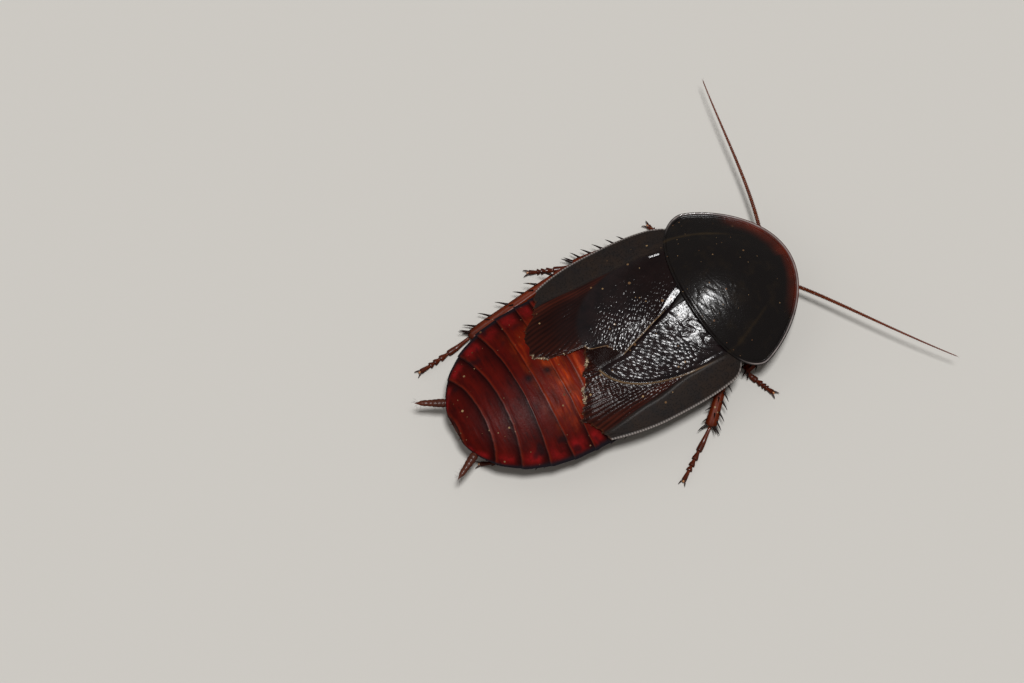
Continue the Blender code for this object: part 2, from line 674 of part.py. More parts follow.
def build_tarsus(name, start, toe):
    """Five foot joints, the first the longest, each widest at its pad, and two claws."""
    run = toe - start
    path, halves = [], []
    for a, b in zip(FOOT_JOINTS, FOOT_JOINTS[1:]):
        for share, swell in FOOT_SWELL:
            s = a + (b - a) * share
            centre = start + run * s
            ankle_lift = (start.z - TARSUS_HALF) * (1 - ease(s, 0.0, 0.3))
            centre.z = TARSUS_HALF + ankle_lift + 0.06 * ease(s, 0.85, 1.0)
            path.append(centre)
            halves.append((TARSUS_HALF * swell * 1.05, TARSUS_HALF * max(swell, 0.9)))
    core = tube(path, halves, 8, floor=0.0)
    ahead = Vector((run.x, run.y, 0)).normalized()
    aside = ahead.cross(Vector((0, 0, 1)))
    claws = []
    for sign in (1, -1):
        direction = ahead * 0.85 + aside * sign * 0.5 - Vector((0, 0, 0.22))
        root = path[-1] - ahead * 0.1 + aside * sign * 0.07 + Vector((0, 0, 0.02))
        claws.append(spine(root, direction, CLAW_LENGTH, CLAW_THICKNESS, CLAW_TIP_THICKNESS))
    add_node("tarsus_" + name, fused(core, claws, "tarsus_" + name), RED_BROWN)


def build_leg(name, rng):
    pair = name.split("_")[0]
    hip, coxa_end, femur_start, knee, ankle, toe = [Vector(p) for p in LEGS[name]]
    add_node("coxa_" + name, limb(hip, coxa_end, COXA_HALF[pair], LIMB_SHARES, COXA_SWELL), MAHOGANY)
    femur_end = knee + (femur_start - knee).normalized() * KNEE_SETBACK[pair]
    femur = limb(femur_start, femur_end, FEMUR_HALF[pair], LIMB_SHARES, FEMUR_SWELL)
    add_node("femur_" + name, femur, MAHOGANY)
    tibia_start = knee + (ankle - knee).normalized() * KNEE_SETBACK[pair]
    tibia_end = ankle - (ankle - knee).normalized() * ANKLE_SETBACK[pair]
    build_tibia(name, pair, tibia_start, tibia_end, rng)
    foot_start = ankle + (toe - ankle).normalized() * ANKLE_SETBACK[pair]
    build_tarsus(name, foot_start, toe)


def settle():
    """Moves every node so that the origin is on the floor under the middle of the whole animal, in metres."""
    nodes = [o for o in bpy.context.scene.objects if o.type == "MESH"]
    xs = [v.co.x for o in nodes for v in o.data.vertices]
    ys = [v.co.y for o in nodes for v in o.data.vertices]
    middle = Vector(((min(xs) + max(xs)) / 2, (min(ys) + max(ys)) / 2, 0))
    for node in nodes:
        node.data.transform(Matrix.Scale(MM, 4) @ Matrix.Translation(-middle))


for old in list(bpy.data.objects):
    bpy.data.objects.remove(old)

build_shield()
build_thorax()
build_abdomen()
build_head()
draw = random.Random(SEED)
for flank in ("left", "right"):
    build_wing(flank)
    build_eye(flank)
    build_feeler(flank)
    build_cercus(flank)
for leg in LEGS:
    build_leg(leg, draw)
settle()
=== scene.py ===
import math
import random

import bmesh
import bpy
from mathutils import Matrix, Vector, noise


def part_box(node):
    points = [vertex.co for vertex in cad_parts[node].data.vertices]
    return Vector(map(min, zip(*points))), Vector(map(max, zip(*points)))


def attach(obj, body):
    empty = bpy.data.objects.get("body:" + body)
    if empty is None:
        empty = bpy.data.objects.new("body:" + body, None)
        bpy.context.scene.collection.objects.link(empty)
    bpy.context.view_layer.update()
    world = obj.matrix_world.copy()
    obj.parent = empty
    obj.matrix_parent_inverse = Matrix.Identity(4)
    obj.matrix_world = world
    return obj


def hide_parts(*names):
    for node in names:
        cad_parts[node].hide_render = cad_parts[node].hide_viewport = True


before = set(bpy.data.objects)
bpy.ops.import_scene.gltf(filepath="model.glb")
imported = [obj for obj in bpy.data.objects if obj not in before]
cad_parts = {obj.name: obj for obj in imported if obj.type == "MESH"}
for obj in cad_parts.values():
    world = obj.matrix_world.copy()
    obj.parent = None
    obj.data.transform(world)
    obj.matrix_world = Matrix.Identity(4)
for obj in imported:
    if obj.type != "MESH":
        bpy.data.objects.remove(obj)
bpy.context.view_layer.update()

# The picture. A camera some 40 cm off looks down over the animal's right rear side and frames it as the photo
# does: the rear crest of the head shield falls on the same pixel. Every size below is in the animal's own
# millimetres: x to its left, y back from the shield's front rim, z up.
MM = 0.001
IMAGE_WIDTH, IMAGE_HEIGHT = 1024, 683
PIXELS_PER_MM = 15.3
VIEW_RISE = math.radians(71.4)
VIEW_TURN = math.radians(28.7)
SHIELD_CREST = Vector((0, 8.14, 6.0))
CREST_PIXEL = (683.5, 295)
CAMERA_AWAY = 400
SENSOR = 36
shield_low, shield_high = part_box("pronotum")
INTO_FRAME = Matrix.Scale(MM, 4) @ Matrix.Translation(
    ((shield_low.x + shield_high.x) / 2 / MM, shield_low.y / MM, 0)
)

picture_right = Vector((-math.sin(VIEW_TURN), -math.cos(VIEW_TURN), 0))
across_floor = Vector((math.cos(VIEW_TURN), -math.sin(VIEW_TURN), 0))
to_camera = -across_floor * math.cos(VIEW_RISE) + Vector((0, 0, math.sin(VIEW_RISE)))
picture_up = to_camera.cross(picture_right)
aim = SHIELD_CREST + picture_right * (IMAGE_WIDTH / 2 - CREST_PIXEL[0]) / PIXELS_PER_MM
aim -= picture_up * (IMAGE_HEIGHT / 2 - CREST_PIXEL[1]) / PIXELS_PER_MM

camera = bpy.data.objects.new("camera", bpy.data.cameras.new("camera"))
camera.data.sensor_width = SENSOR
camera.data.lens = SENSOR * CAMERA_AWAY * PIXELS_PER_MM / IMAGE_WIDTH
camera.data.clip_start = 0.01
camera.data.clip_end = 50
turned = Matrix((picture_right, picture_up, to_camera)).transposed().to_4x4()
camera.matrix_world = Matrix.Translation(INTO_FRAME @ (aim + to_camera * CAMERA_AWAY)) @ turned
bpy.context.scene.collection.objects.link(camera)
bpy.context.scene.camera = camera

# The studio. A pale matt floor, dimmer where shiny shell mirrors it, that runs to a backdrop of its own
# colour. A small sun stands for the flash, a little ahead of overhead, with a wide weak one behind and a dim
# room round them.
FLOOR_SIZE = 12.0
FLOOR_COLOUR, FLOOR_MIRRORED, FLOOR_ROUGHNESS = (0.6, 0.58, 0.545), (0.08, 0.077, 0.072), 0.9
BACKDROP_COLOUR = (0.58, 0.567, 0.536, 1)
KEY_FROM, KEY_ANGLE, KEY_STRENGTH = Vector((-0.1, -0.02, 0.98)), 11, 2.45
FILL_FROM, FILL_ANGLE, FILL_STRENGTH = Vector((0.6, 0.9, 0.75)), 80, 0.32
LAMP_AWAY = 0.3
ROOM_COLOUR, ROOM_STRENGTH = (1.0, 0.96, 0.9, 1), 0.17


def put(tree, kind, inputs=None, **settings):
    """Adds a shader node; an input is given a value, or is linked where it is given another node's output."""
    node = tree.nodes.new(kind)
    for key, value in settings.items():
        setattr(node, key, value)
    for key, value in (inputs or {}).items():
        if isinstance(value, bpy.types.NodeSocket):
            tree.links.new(value, node.inputs[key])
        else:
            node.inputs[key].default_value = value
    return node


def mixed(tree, share, first, second):
    """The colour between two colours, or between two colour outputs."""
    node = put(tree, "ShaderNodeMix", data_type="RGBA", clamp_factor=True)
    for socket, value in ((node.inputs[0], share), (node.inputs[6], first), (node.inputs[7], second)):
        if isinstance(value, bpy.types.NodeSocket):
            tree.links.new(value, socket)
        else:
            socket.default_value = value if isinstance(value, float) else (*value, 1)
    return node.outputs[2]


def new_material(name):
    made = bpy.data.materials.new(name)
    made.use_nodes = True
    return made, made.node_tree, made.node_tree.nodes["Principled BSDF"]


floor_bm = bmesh.new()
bmesh.ops.create_grid(floor_bm, x_segments=1, y_segments=1, size=FLOOR_SIZE / 2)
floor_mesh = bpy.data.meshes.new("floor")
floor_bm.to_mesh(floor_mesh)
floor_bm.free()
floor = bpy.data.objects.new("floor", floor_mesh)
bpy.context.scene.collection.objects.link(floor)
floor_paint, floor_tree, floor_shader = new_material("floor")
floor_shader.inputs["Roughness"].default_value = FLOOR_ROUGHNESS
in_mirror = put(floor_tree, "ShaderNodeLightPath").outputs["Is Glossy Ray"]
floor_tint = mixed(floor_tree, in_mirror, FLOOR_COLOUR, FLOOR_MIRRORED)
floor_tree.links.new(floor_tint, floor_shader.inputs["Base Color"])
floor_mesh.materials.append(floor_paint)

for name, comes_from, angle, strength in (
    ("key_light", KEY_FROM, KEY_ANGLE, KEY_STRENGTH),
    ("fill_light", FILL_FROM, FILL_ANGLE, FILL_STRENGTH),
):
    sun = bpy.data.lights.new(name, "SUN")
    sun.angle = math.radians(angle)
    sun.energy = strength
    lamp = bpy.data.objects.new(name, sun)
    lamp.location = comes_from * LAMP_AWAY
    lamp.rotation_euler = (-comes_from).to_track_quat("-Z", "Y").to_euler()
    lamp.visible_glossy = name == "key_light"
    bpy.context.scene.collection.objects.link(lamp)

room = bpy.data.worlds.new("room")
room.use_nodes = True
room_tree = room.node_tree
glow = room_tree.nodes["Background"]
glow.inputs["Color"].default_value = ROOM_COLOUR
glow.inputs["Strength"].default_value = ROOM_STRENGTH
backdrop = put(room_tree, "ShaderNodeBackground", {"Color": BACKDROP_COLOUR, "Strength": 1.0})
seen = put(room_tree, "ShaderNodeLightPath").outputs["Is Camera Ray"]
blend = put(room_tree, "ShaderNodeMixShader", {0: seen, 1: glow.outputs[0], 2: backdrop.outputs[0]})
room_tree.links.new(blend.outputs[0], room_tree.nodes["World Output"].inputs["Surface"])
bpy.context.scene.world = room
bpy.context.scene.view_settings.view_transform = "Standard"

# The thorax, the body's middle under the shield and the wing roots: brown horny plates joined by soft folds.
# Only its flanks and its underside show, between the legs.
THORAX_FRONT_Y, THORAX_REAR_Y = 3.4, 11.8
THORAX_TOP_Z, THORAX_BELLY_Z = 3.6, 1.62
THORAX_HALF_WIDTH, THORAX_WIDENING = 3.3, 0.17
THORAX_FOLDS = 9
TINT, TINT_EDGE = ("tint",), ("tint", "edge")
MERGE_DISTANCE, SHARP_ANGLE = 0.0005, math.radians(50)


def clamp01(value):
    return max(0.0, min(1.0, value))


def ease(value, start, end):
    """0 before start, 1 after end and smooth between; start may be the larger."""
    t = clamp01((value - start) / (end - start))
    return t * t * (3 - 2 * t)


def hump(value, centre, width):
    return math.exp(-(((value - centre) / width) ** 2))


def read_curve(points, at):
    """The height of a smooth line through (place, height) points."""
    for (x0, y0), (x1, y1) in zip(points, points[1:]):
        if at <= x1:
            return y0 + (y1 - y0) * ease(at, x0, x1)
    return points[-1][1]


def cloud(x, y, z=0.0):
    """Smooth noise from -1 to 1 whose lumps are about 1 across."""
    return noise.noise(Vector((x, y, z)))


def warped_grid(across, along, place, masks):
    """A grid whose corners are put where place(u, v) says, with the masks that it gives beside each point."""
    bm = bmesh.new()
    layers = [bm.verts.layers.float.new(mask) for mask in masks]
    bmesh.ops.create_grid(bm, x_segments=across, y_segments=along, size=0.5)
    for vert in bm.verts:
        spot, *shades = place(vert.co.x + 0.5, vert.co.y + 0.5)
        vert.co = spot
        for layer, shade in zip(layers, shades):
            vert[layer] = shade
    return bm


def close_up(bm):
    """Merges the edges of a rolled-up grid, at its seam and its poles, and points the faces outwards."""
    bmesh.ops.remove_doubles(bm, verts=bm.verts[:], dist=MERGE_DISTANCE)
    bmesh.ops.recalc_face_normals(bm, faces=bm.faces[:])
    return bm


def give_wall(bm, wall):
    """Gives an open sheet its thickness, downwards from its top. wall may be a function of the place."""
    bmesh.ops.recalc_face_normals(bm, faces=bm.faces[:])
    if sum(face.normal.z * face.calc_area() for face in bm.faces) < 0:
        bmesh.ops.reverse_faces(bm, faces=bm.faces[:])
    bm.normal_update()
    inwards = [vert.normal.copy() for vert in bm.verts]
    grown = bmesh.ops.extrude_face_region(bm, geom=bm.faces[:])
    lower = [item for item in grown["geom"] if isinstance(item, bmesh.types.BMVert)]
    for vert, normal in zip(lower, inwards):
        vert.co -= normal * (wall(vert.co) if callable(wall) else wall)
    bmesh.ops.recalc_face_normals(bm, faces=bm.faces[:])
    return bm


def join(bm, other):
    """Adds another mesh's shape, with its masks, to bm."""
    scrap = bpy.data.meshes.new("scrap")
    other.to_mesh(scrap)
    other.free()
    bm.from_mesh(scrap)
    bpy.data.meshes.remove(scrap)


def shown(bm, name, material):
    """Puts a finished shape into the frame as a named object."""
    bm.transform(INTO_FRAME)
    mesh = bpy.data.meshes.new(name)
    bm.to_mesh(mesh)
    bm.free()
    mesh.shade_smooth()
    mesh.set_sharp_from_angle(angle=SHARP_ANGLE)
    mesh.materials.append(material)
    piece = bpy.data.objects.new(name, mesh)
    bpy.context.scene.collection.objects.link(piece)
    return piece


def sums(tree, operation, first, second, clamp=False):
    return put(tree, "ShaderNodeMath", {0: first, 1: second}, operation=operation, use_clamp=clamp).outputs[0]


def ranged(tree, value, low, high, start=0.0, end=1.0):
    """start where the value is low, end where it is high, and even between."""
    return put(tree, "ShaderNodeMapRange", {0: value, 1: low, 2: high, 3: start, 4: end}).outputs[0]


def mask(tree, name):
    return put(tree, "ShaderNodeAttribute", attribute_name=name, attribute_type="GEOMETRY").outputs["Fac"]


def shell_grain_group():
    """Fine pits, cloudy mottling and stray flecks, as on all of the animal's shell."""
    group = bpy.data.node_groups.new("shell_grain", "ShaderNodeTree")
    for name, default in (("Pits per mm", 8.0), ("Mottle per mm", 1.2), ("Flecks per mm", 2.4)):
        socket = group.interface.new_socket(name, in_out="INPUT", socket_type="NodeSocketFloat")
        socket.default_value = default
    for name in ("Pits", "Mottle", "Flecks", "Fleck tone", "Fine"):
        group.interface.new_socket(name, in_out="OUTPUT", socket_type="NodeSocketFloat")
    source = put(group, "NodeGroupInput")
    result = put(group, "NodeGroupOutput")
    place = put(group, "ShaderNodeTexCoord").outputs["Object"]
    in_mm = put(group, "ShaderNodeVectorMath", {0: place, "Scale": 1 / MM}, operation="SCALE").outputs[0]
    pits = put(group, "ShaderNodeTexVoronoi", {"Vector": in_mm, "Scale": source.outputs[0]}, feature="F1")
    group.links.new(ranged(group, pits.outputs["Distance"], 0.05, 0.45), result.inputs["Pits"])
    clouds = put(
        group, "ShaderNodeTexNoise",
        {"Vector": in_mm, "Scale": source.outputs[1], "Detail": 4.0, "Roughness": 0.6},
    )
    group.links.new(ranged(group, clouds.outputs[0], 0.35, 0.68), result.inputs["Mottle"])
    cells = put(group, "ShaderNodeTexVoronoi", {"Vector": in_mm, "Scale": source.outputs[2]}, feature="F1")
    pick = put(group, "ShaderNodeSeparateColor", {0: cells.outputs["Color"]})
    reach = sums(group, "MULTIPLY", sums(group, "POWER", pick.outputs[1], 6.0), 0.13)
    inside = sums(group, "LESS_THAN", cells.outputs["Distance"], sums(group, "ADD", reach, 0.07))
    chosen = sums(group, "GREATER_THAN", pick.outputs[0], 0.35)
    group.links.new(sums(group, "MULTIPLY", inside, chosen), result.inputs["Flecks"])
    group.links.new(pick.outputs[2], result.inputs["Fleck tone"])
    fine = put(group, "ShaderNodeTexNoise", {"Vector": in_mm, "Scale": 11.0, "Detail": 3.0, "Roughness": 0.7})
    group.links.new(fine.outputs[0], result.inputs["Fine"])
    return group


SHELL_GRAIN = shell_grain_group()
FLECK_BROWN, FLECK_PALE = (0.09, 0.035, 0.014), (0.3, 0.2, 0.1)


def flecked(tree, grain, colour):
    fleck = mixed(tree, grain.outputs["Fleck tone"], FLECK_BROWN, FLECK_PALE)
    return mixed(tree, grain.outputs["Flecks"], colour, fleck)


def shell_material(
    name, dark, light, roughness, pits=6.0, depth=0.004, coat=0.15, edge=None, flecks=True, shine=0.35
):
    """Horny shell: dark, turning light where the tint mask is high, mottled and finely pitted."""
    made, tree, shader = new_material(name)
    grain = put(tree, "ShaderNodeGroup", node_tree=SHELL_GRAIN)
    grain.inputs[0].default_value = pits
    tint = sums(tree, "ADD", mask(tree, "tint"), sums(tree, "MULTIPLY", grain.outputs["Mottle"], 0.3))
    tint = sums(tree, "SUBTRACT", tint, 0.15, clamp=True)
    colour = mixed(tree, tint, dark, light)
    if edge:
        colour = mixed(tree, mask(tree, "edge"), colour, edge)
    if flecks:
        colour = flecked(tree, grain, colour)
    tree.links.new(colour, shader.inputs["Base Color"])
    rough = ranged(tree, grain.outputs["Fine"], 0.3, 0.7, roughness - 0.06, roughness + 0.08)
    tree.links.new(rough, shader.inputs["Roughness"])
    shader.inputs["Specular IOR Level"].default_value = shine
    shader.inputs["Coat Weight"].default_value = coat
    shader.inputs["Coat Roughness"].default_value = 0.12
    relief = sums(tree, "ADD", grain.outputs["Pits"], sums(tree, "MULTIPLY", grain.outputs["Fine"], 0.8))
    bump = put(tree, "ShaderNodeBump", {"Height": relief, "Strength": 0.6, "Distance": depth * MM})
    tree.links.new(bump.outputs[0], shader.inputs["Normal"])
    return made


def thorax_place(u, v):
    turn = 2 * math.pi * u
    y = THORAX_FRONT_Y + (THORAX_REAR_Y - THORAX_FRONT_Y) * v
    closing = math.sqrt(max(0.0, 1 - (2 * v - 1) ** 6))
    half = (THORAX_HALF_WIDTH + THORAX_WIDENING * (y - THORAX_FRONT_Y)) * closing
    fold = 1 + 0.025 * math.cos(2 * math.pi * THORAX_FOLDS * v) * abs(math.cos(turn))
    middle, deep = (THORAX_TOP_Z + THORAX_BELLY_Z) / 2, (THORAX_TOP_Z - THORAX_BELLY_Z) / 2 * closing
    lift = math.copysign(abs(math.sin(turn)) ** 0.6, math.sin(turn))
    tint = 0.4 + 0.3 * math.cos(6.28 * 3 * v)
    return Vector((half * math.cos(turn) * fold, y, middle + deep * lift)), tint


thorax = shown(
    close_up(warped_grid(64, 90, thorax_place, TINT)),
    "thorax_skin",
    shell_material("thorax_shell", (0.035, 0.01, 0.006), (0.15, 0.04, 0.016), 0.38),
)
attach(thorax, "root")
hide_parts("thorax")

# The abdomen's soft skin, dark red-brown. It lines the horny plates from inside and closes the gaps between
# them along the sides, at the tail and under the wings.
ABDOMEN_FRONT_Y, ABDOMEN_REAR_Y = 10.2, 25.15
ABDOMEN_HALF_WIDTH, ABDOMEN_WIDEST_Y, ABDOMEN_REACH = 5.6, 17.0, 8.25
ABDOMEN_EDGE_Z, MEMBRANE_DEPTH = 2.45, 0.16


def abdomen_half_width(y):
    if y < ABDOMEN_WIDEST_Y:
        return ABDOMEN_HALF_WIDTH - 0.02 * (ABDOMEN_WIDEST_Y - y) ** 2
    return ABDOMEN_HALF_WIDTH * math.sqrt(1 - clamp01((y - ABDOMEN_WIDEST_Y) / ABDOMEN_REACH) ** 2.4)


def tail_closing(y):
    return math.sqrt(1 - clamp01((y - 20.0) / 5.35) ** 2.5)


def back_z(share, y):
    """Height of the back at a share (0 to 1) of the way out from the midline."""
    middle = 3.5 + 0.85 * ease(y, 11.0, 15.5) - 0.55 * ease(y, 17.5, 24.5)
    return ABDOMEN_EDGE_Z + (middle - ABDOMEN_EDGE_Z) * (1 - share**2.1) * tail_closing(y)


def belly_z(share, y):
    deep = 0.75 * ease(y, 12.0, 16.5) - 0.4 * ease(y, 20.0, 25.0)
    return ABDOMEN_EDGE_Z - 0.08 - deep * (1 - share**3) * tail_closing(y)


def membrane_place(u, v):
    turn = 2 * math.pi * u
    y = ABDOMEN_FRONT_Y + (ABDOMEN_REAR_Y - ABDOMEN_FRONT_Y) * v
    share = abs(math.cos(turn))
    closing = math.sqrt(max(0.0, 1 - (2 * v - 1) ** 12))
    x = math.cos(turn) * abdomen_half_width(y) * 0.965 * closing
    top = max(back_z(share, y) - MEMBRANE_DEPTH, ABDOMEN_EDGE_Z - 0.04)
    low = min(belly_z(share, y) + MEMBRANE_DEPTH, ABDOMEN_EDGE_Z - 0.05)
    middle = ABDOMEN_EDGE_Z - 0.045
    z = middle + ((top if turn < math.pi else low) - middle) * closing * min(1, 6 * abs(math.sin(turn)))
    return Vector((x, y, z + 0.01 * math.sin(y * 20))), 0.4 + 0.3 * cloud(x, y * 4)


membrane = shown(
    close_up(warped_grid(80, 120, membrane_place, TINT)),
    "abdomen_membrane",
    shell_material("membrane_skin", (0.025, 0.007, 0.005), (0.1, 0.02, 0.01), 0.5, coat=0.05, flecks=False),
)
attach(membrane, "root")
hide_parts("abdomen")

# The abdomen's back: thin horny plates (tergites) that overlap like roof tiles, each with its raised rear
# edge over the next one. They are deep maroon, clearer and orange-red in bands where the worn wings leave
# them bare. Each plate is painted darker at its front, partly its own dark band and partly painted shade
# under the edge of the plate before. Each plate's rear edge is a y on the midline and how much further back
# it lies at the sides.
TERGITE_REARS = (
    (11.9, 0), (13.3, 0), (14.8, 0), (16.6, 0.1), (17.75, 0.0), (19.2, 0.05), (20.3, 0.55), (21.8, 0.8),
    (23.3, 0.7), (25.15, 0),
)
TERGITE_OVERLAP, TERGITE_TILT, TERGITE_WALL = 0.45, 0.11, 0.07
RIDGE_RISE, RIDGE_GROOVE = 0.015, 0.02
GLOW_BANDS = ((17.15, 0.52, 1.05), (16.2, 0.35, 0.75), (18.1, 0.35, 0.65), (19.0, 0.4, 0.4))
DARK_BLOTS = ((0.25, 18.15, 0.36), (0.35, 19.5, 0.3))
# Colours across each plate from front to rear. The darkest ones in front are partly painted shade under the
# plate before.
MAROON_AND_SHADE_BANDS = (
    (0.0, (0.012, 0.0015, 0.0015)), (0.2, (0.045, 0.0027, 0.002)), (0.6, (0.08, 0.0038, 0.002)),
    (0.84, (0.06, 0.003, 0.002)), (0.94, (0.12, 0.009, 0.002)), (0.98, (0.03, 0.003, 0.002)),
)
TERGITE_MASKS = ("bare", "glow", "rim", "spot", "blot")


def tergite_place(front_y, front_sweep, rear_y, rear_sweep):
    last = rear_y == TERGITE_REARS[-1][0]

    def place(u, v):
        share = math.sin((u - 0.5) * math.pi)
        low = front_y + front_sweep * share**2 - TERGITE_OVERLAP
        high = rear_y + rear_sweep * share**2 + 0.035 * cloud(share * 9, rear_y)
        if last:
            high -= 0.1 * hump(share, 0, 0.4)
        y = low + (high - low) * v
        bare = clamp01((v * (high - low) - TERGITE_OVERLAP) / (high - low - TERGITE_OVERLAP))
        x = share * abdomen_half_width(y)
        x += math.copysign(0.06, share) * abs(share) ** 12 * ease(bare, 0.3, 1.0)
        z = back_z(abs(share), y) + TERGITE_TILT * (bare - 0.35) * (1 - 0.6 * share**2) * (0.3 if last else 1)
        z += RIDGE_RISE * hump(bare, 0.95, 0.035) - RIDGE_GROOVE * hump(bare, 0.84, 0.06)
        z += 0.012 * cloud(x * 1.5, y * 7, 3.0) + 0.008 * cloud(x * 5, y * 9, 8.0)
        z += 0.03 * cloud(x * 0.7, y * 0.9, 21.0)
        across_y = y - rear_sweep * share**2
        glow = sum(strength * hump(across_y, middle, width) for middle, width, strength in GLOW_BANDS)
        glow *= ease(x, -4.6, -2.4) * ease(x, 4.8, 2.4) * (0.7 + 0.6 * cloud(x * 0.9, y * 2.2, 5.0))
        glow *= 1 - 0.6 * hump(x, 0.6, 0.8) * hump(across_y, 16.9, 0.35)
        rim = ease(abs(share), 0.93, 0.985)
        spot = hump(abs(share), 0.87, 0.07) * ease(bare, 0.1, 0.4) * ease(bare, 0.98, 0.7)
        blot = sum(hump(math.hypot(x - blot_x, y - blot_y), 0, reach) for blot_x, blot_y, reach in DARK_BLOTS)
        blot += 0.75 * ease(cloud(x * 1.1, y * 1.6, 31.0), 0.25, 0.6) * ease(abs(share), 0.5, 0.75)
        return Vector((x, y, z)), bare, clamp01(glow), rim, clamp01(spot), clamp01(blot)

    return place


def tergite_material():
    """Clear maroon shell: dark ahead (partly painted shade under the plate before), redder to the rear edge,
    crimson beside the black side rim.
    """
    made, tree, shader = new_material("tergite_shell")
    grain = put(tree, "ShaderNodeGroup", node_tree=SHELL_GRAIN)
    grain.inputs[0].default_value = 7.0
    ramp = put(tree, "ShaderNodeValToRGB", {"Fac": mask(tree, "bare")})
    for place, colour in MAROON_AND_SHADE_BANDS[2:]:
        ramp.color_ramp.elements.new(place)
    for element, (place, colour) in zip(ramp.color_ramp.elements, MAROON_AND_SHADE_BANDS):
        element.position = place
        element.color = (*colour, 1)
    coords = put(tree, "ShaderNodeTexCoord").outputs["Object"]
    stretched = put(tree, "ShaderNodeMapping", {0: coords, "Scale": (800, 5200, 800)})
    lines = put(tree, "ShaderNodeTexNoise", {"Vector": stretched.outputs[0], "Scale": 1.0, "Detail": 3.0})
    line = ranged(tree, lines.outputs[0], 0.42, 0.66)
    glowing = mixed(tree, line, (0.22, 0.013, 0.002), (0.62, 0.07, 0.006))
    colour = mixed(tree, mask(tree, "glow"), ramp.outputs[0], glowing)
    darker = sums(tree, "MULTIPLY", grain.outputs["Mottle"], sums(tree, "ADD", 0.3, line), clamp=True)
    colour = mixed(tree, sums(tree, "MULTIPLY", darker, 0.65), colour, (0.014, 0.002, 0.002))
    spots = sums(tree, "MULTIPLY", mask(tree, "spot"), sums(tree, "SUBTRACT", 1.1, grain.outputs["Mottle"]))
    colour = mixed(tree, spots, colour, (0.2, 0.006, 0.007))
    colour = mixed(tree, mask(tree, "blot"), colour, (0.009, 0.004, 0.005))
    colour = mixed(tree, mask(tree, "rim"), colour, (0.01, 0.008, 0.011))
    colour = flecked(tree, grain, colour)
    tree.links.new(colour, shader.inputs["Base Color"])
    tree.links.new(ranged(tree, grain.outputs["Fine"], 0.3, 0.7, 0.34, 0.5), shader.inputs["Roughness"])
    ridge_shine = ranged(tree, mask(tree, "bare"), 0.9, 0.95, 0.055, 0.16)
    tree.links.new(ridge_shine, shader.inputs["Specular IOR Level"])
    relief = sums(tree, "ADD", grain.outputs["Fine"], sums(tree, "MULTIPLY", grain.outputs["Pits"], 0.5))
    bump = put(tree, "ShaderNodeBump", {"Height": relief, "Strength": 0.6, "Distance": 0.012 * MM})
    tree.links.new(bump.outputs[0], shader.inputs["Normal"])
    return made


TERGITE_SHELL = tergite_material()
for number, (ahead, behind) in enumerate(zip(TERGITE_REARS, TERGITE_REARS[1:]), start=1):
    plate = warped_grid(110, 34, tergite_place(*ahead, *behind), TERGITE_MASKS)
    tergite = shown(give_wall(plate, TERGITE_WALL), f"tergite_{number}", TERGITE_SHELL)
    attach(tergite, "root")
    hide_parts("abdomen")

# The abdomen's belly: plates (sternites) that overlap the other way up and meet the back plates along the
# sides. They are the same maroon shell, browner in the middle, and the last one bears two small pegs.
STERNITE_REARS = (11.0, 12.6, 14.3, 16.0, 17.7, 19.4, 21.2, 25.1)
STERNITE_WALL = 0.07
PEG_ROOT, PEG_LENGTH, PEG_HALF = (0.5, 24.9, 2.2), 0.4, 0.06
UP = Vector((0, 0, 1))


def straight(start, end):
    return lambda t: Vector(start).lerp(Vector(end), t)


def bent(*points):
    """A cubic arc from the first point to the last, pulled towards the two between."""
    a, b, c, d = (Vector(point) for point in points)
    return lambda t: a * (1 - t) ** 3 + b * 3 * t * (1 - t) ** 2 + c * 3 * t * t * (1 - t) + d * t**3


def limb(path, girth, sides, rings, masks, up=UP, crowded_ends=True):
    """A closed limb along path. girth(t, turn) gives its half width, its half depth and its masks."""

    def place(u, v):
        t = (1 - math.cos(math.pi * v)) / 2 if crowded_ends else v
        turn = 2 * math.pi * u
        ahead = (path(min(t + 0.01, 1)) - path(max(t - 0.01, 0))).normalized()
        side = ahead.cross(up).normalized()
        lift = side.cross(ahead)
        wide, deep, *shades = girth(t, turn)
        return path(t) + side * wide * math.cos(turn) + lift * deep * math.sin(turn), *shades

    return close_up(warped_grid(sides, rings, place, masks))


def thorn(root, direction, length, half, droop, sides, rings, shades, masks):
    """A tapered thorn that bends towards droop."""
    direction = direction.normalized()
    tip = root + direction * length + droop
    path = bent(root - direction * half, root + direction * length / 3, root + direction * length * 0.72, tip)

    def girth(t, turn):
        thick = half * (1 - t) ** 0.75 * (1.0 if t > 0 else 0.0) * (1 - 0.25 * ease(t, 0.12, 0.3))
        return thick, thick, *shades

    return limb(path, girth, sides, rings, masks, crowded_ends=False)


def sternite_place(front_y, rear_y):
    def place(u, v):
        share = math.sin((u - 0.5) * math.pi)
        y = front_y - TERGITE_OVERLAP + (rear_y - front_y + TERGITE_OVERLAP) * v
        bare = clamp01((y - front_y) / (rear_y - front_y))
        x = share * abdomen_half_width(y) * 0.99
        z = belly_z(abs(share), y) - 0.09 * (bare - 0.3) * (1 - share**2) + 0.01 * cloud(x, y * 5, 2.0)
        return Vector((x, y, z)), 0.35 + 0.5 * hump(bare, 0.9, 0.12), ease(abs(share), 0.9, 0.99)

    return place


